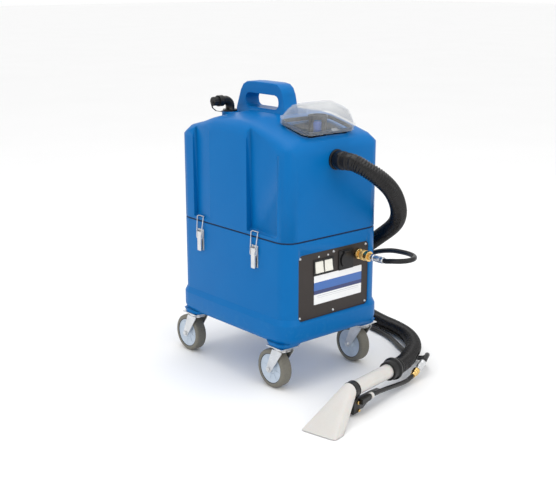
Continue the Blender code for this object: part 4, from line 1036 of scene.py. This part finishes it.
def plate(name, x, z, size, radius, thickness, material):
    """A thin plate with round corners on the panel's face."""
    shape = bmesh.new()
    centre = place(x, FACE - 0.0001, z)
    outline = []
    for corner, (right, up) in enumerate(((1, 1), (-1, 1), (-1, -1), (1, -1))):
        for step in range(CORNER_STEPS + 1):
            angle = math.pi / 2 * (corner + step / CORNER_STEPS)
            across = right * (size[0] / 2 - radius) + radius * math.cos(angle)
            outline.append(Vector((across, 0.0, up * (size[1] / 2 - radius) + radius * math.sin(angle))))
    rings = []
    for out, scale in ((0.0, 1.0), (0.7, 1.0), (1.0, 1.0 - 0.6 * thickness / max(size))):
        level_with = centre + Vector((0.0, -thickness * out, 0.0))
        rings.append([shape.verts.new(level_with + point * scale) for point in outline])
    shape.faces.new(rings[0])
    shape.faces.new(rings[-1])
    for low, high in zip(rings, rings[1:]):
        bridge(shape, low, high)
    on_body(solid(name, shape, material), "machine")


plate("sign_plate", SIGN_X, SIGN_Z, SIGN_SIZE, 0.0015, 0.0008, sign_paint())
for index, x in enumerate((-0.0522, -0.0210)):
    plate(f"switch_mark_{index}", x, 0.3365, (0.0050, 0.0042), 0.0012, 0.0004, WHITE)
print("panel's middle", tuple(round(v, 3) for v in middle_of("control_panel")))

# %% [markdown]
# ## Lid tab and cap tether
# A moulded tab on the front of the lid's skirt is where a thumb lifts it. A soft strap ties the
# drain cap to the elbow, so that it can't be lost. Both are short bent strips, swept from a few
# points.


# %% Strips
def strip(name, points, width_way, width, thickness, material, body):
    """A flat strip along a line of points, with its ends closed and its edges softened."""
    shape = bmesh.new()
    side = Vector(width_way).normalized() * width / 2
    corners = ((1, 1), (-1, 1), (-1, -1), (1, -1))
    rings = []
    for index, point in enumerate(points):
        before = points[max(0, index - 1)]
        after = points[min(len(points) - 1, index + 1)]
        up = (after - before).cross(side).normalized() * thickness / 2
        rings.append([shape.verts.new(point + side * a + up * b) for a, b in corners])
    for low, high in zip(rings, rings[1:]):
        bridge(shape, low, high)
    shape.faces.new(rings[0])
    shape.faces.new(rings[-1])
    made = solid(name, shape, material)
    soften = made.modifiers.new("edges", "BEVEL")
    soften.width = thickness * 0.3
    soften.segments = 2
    on_body(made, body)


LID_TILT = math.atan(0.235)
LID_MIDDLE = place(0.0, -0.1455, 0.6425)
TAB_PROFILE = ((-0.0560, 0.0175), (-0.0590, 0.0172), (-0.0620, 0.0160), (-0.0640, 0.0130))


def on_lid(y, height):
    """A point on the lid's middle line, back to front and above its rim."""
    return LID_MIDDLE + Matrix.Rotation(LID_TILT, 4, "X") @ Vector((0.0, y, height))


tab = [on_lid(*point) for point in TAB_PROFILE]
strip("lid_tab", tab, (1, 0, 0), 0.020, 0.0024, CLEAR, "lid_body")
tether = [
    place(-0.1080, 0.1280, 0.6905), place(-0.1130, 0.1280, 0.6890), place(-0.1160, 0.1270, 0.6830),
    place(-0.1150, 0.1240, 0.6740), place(-0.1080, 0.1190, 0.6665), place(-0.0960, 0.1150, 0.6640),
    place(-0.0820, 0.1180, 0.6660), place(-0.0730, 0.1230, 0.6675),
]
strip("cap_tether", tether, (0, 1, 0), 0.0050, 0.0016, PIPE, "machine")
print("tab and tether done")

# %% [markdown]
# ## The valve's brass and the feed pipe's clip
# Two brass nuts close the spray valve, and a white clip sits on the feed pipe. All three come from
# the lathe.

# %% Valve details
NUT_DEEP = 0.004
CLIP_PROFILE = (
    (0.0074, 0.010), (0.0080, 0.0092), (0.0080, 0.0008), (0.0074, 0.0), (0.0061, 0.0),
    (0.0061, 0.010),
)
sideways = TOOL.to_3x3() @ Vector((0, -1, 0))
for name, at, radius in (
    ("valve_nut_top", Vector((0.146, -0.0135, 0.0330)), 0.0042),
    ("valve_nut_low", Vector((0.150, -0.0135, 0.0120)), 0.0036),
):
    nut_profile = (
        (0.0, NUT_DEEP), (radius * 0.8, NUT_DEEP), (radius, NUT_DEEP * 0.75), (radius, 0.0), (0.0, 0.0),
    )
    nut = turned(name, nut_profile, TOOL @ at, sideways, BRASS, steps=12, edge=20)
    on_body(nut, "hand_tool")
clip_at = TOOL @ Vector((0.1925, PIPE_SIDE, 0.0345))
pipe_way = TOOL.to_3x3() @ Vector((1, 0, -0.02))
clip = turned("feed_clip", CLIP_PROFILE, clip_at, pipe_way, WHITE, True, 32)
on_body(clip, "hand_tool")
print("valve details done")

# %% [markdown]
# ## Floor
# The floor is one pale sheet, far wider than the object, with a very slight cloud. It lies just
# under the wheels, so that the two never fight for the same height.


# %% Floor
def floor_paint():
    paint = Paint("studio_floor", 0.75)
    cloud = paint.noise(1.5, 3.0)
    paint.colour(paint.blend(cloud, (0.93, 0.93, 0.93), (0.97, 0.97, 0.97)))
    return paint.bump(paint.noise(200.0, 2.0), 0.0002, 0.05).material


REACH, FLOOR_DROP = 30, 0.0008
sheet = [(-REACH, -REACH, 0), (REACH, -REACH, 0), (REACH, REACH, 0), (-REACH, REACH, 0)]
floor_mesh = bpy.data.meshes.new("floor")
floor_mesh.from_pydata(sheet, [], [(0, 1, 2, 3)])
floor_mesh.materials.append(floor_paint())
floor = put_in_scene(bpy.data.objects.new("floor", floor_mesh))
floor.location.z = -FLOOR_DROP
print("floor laid")
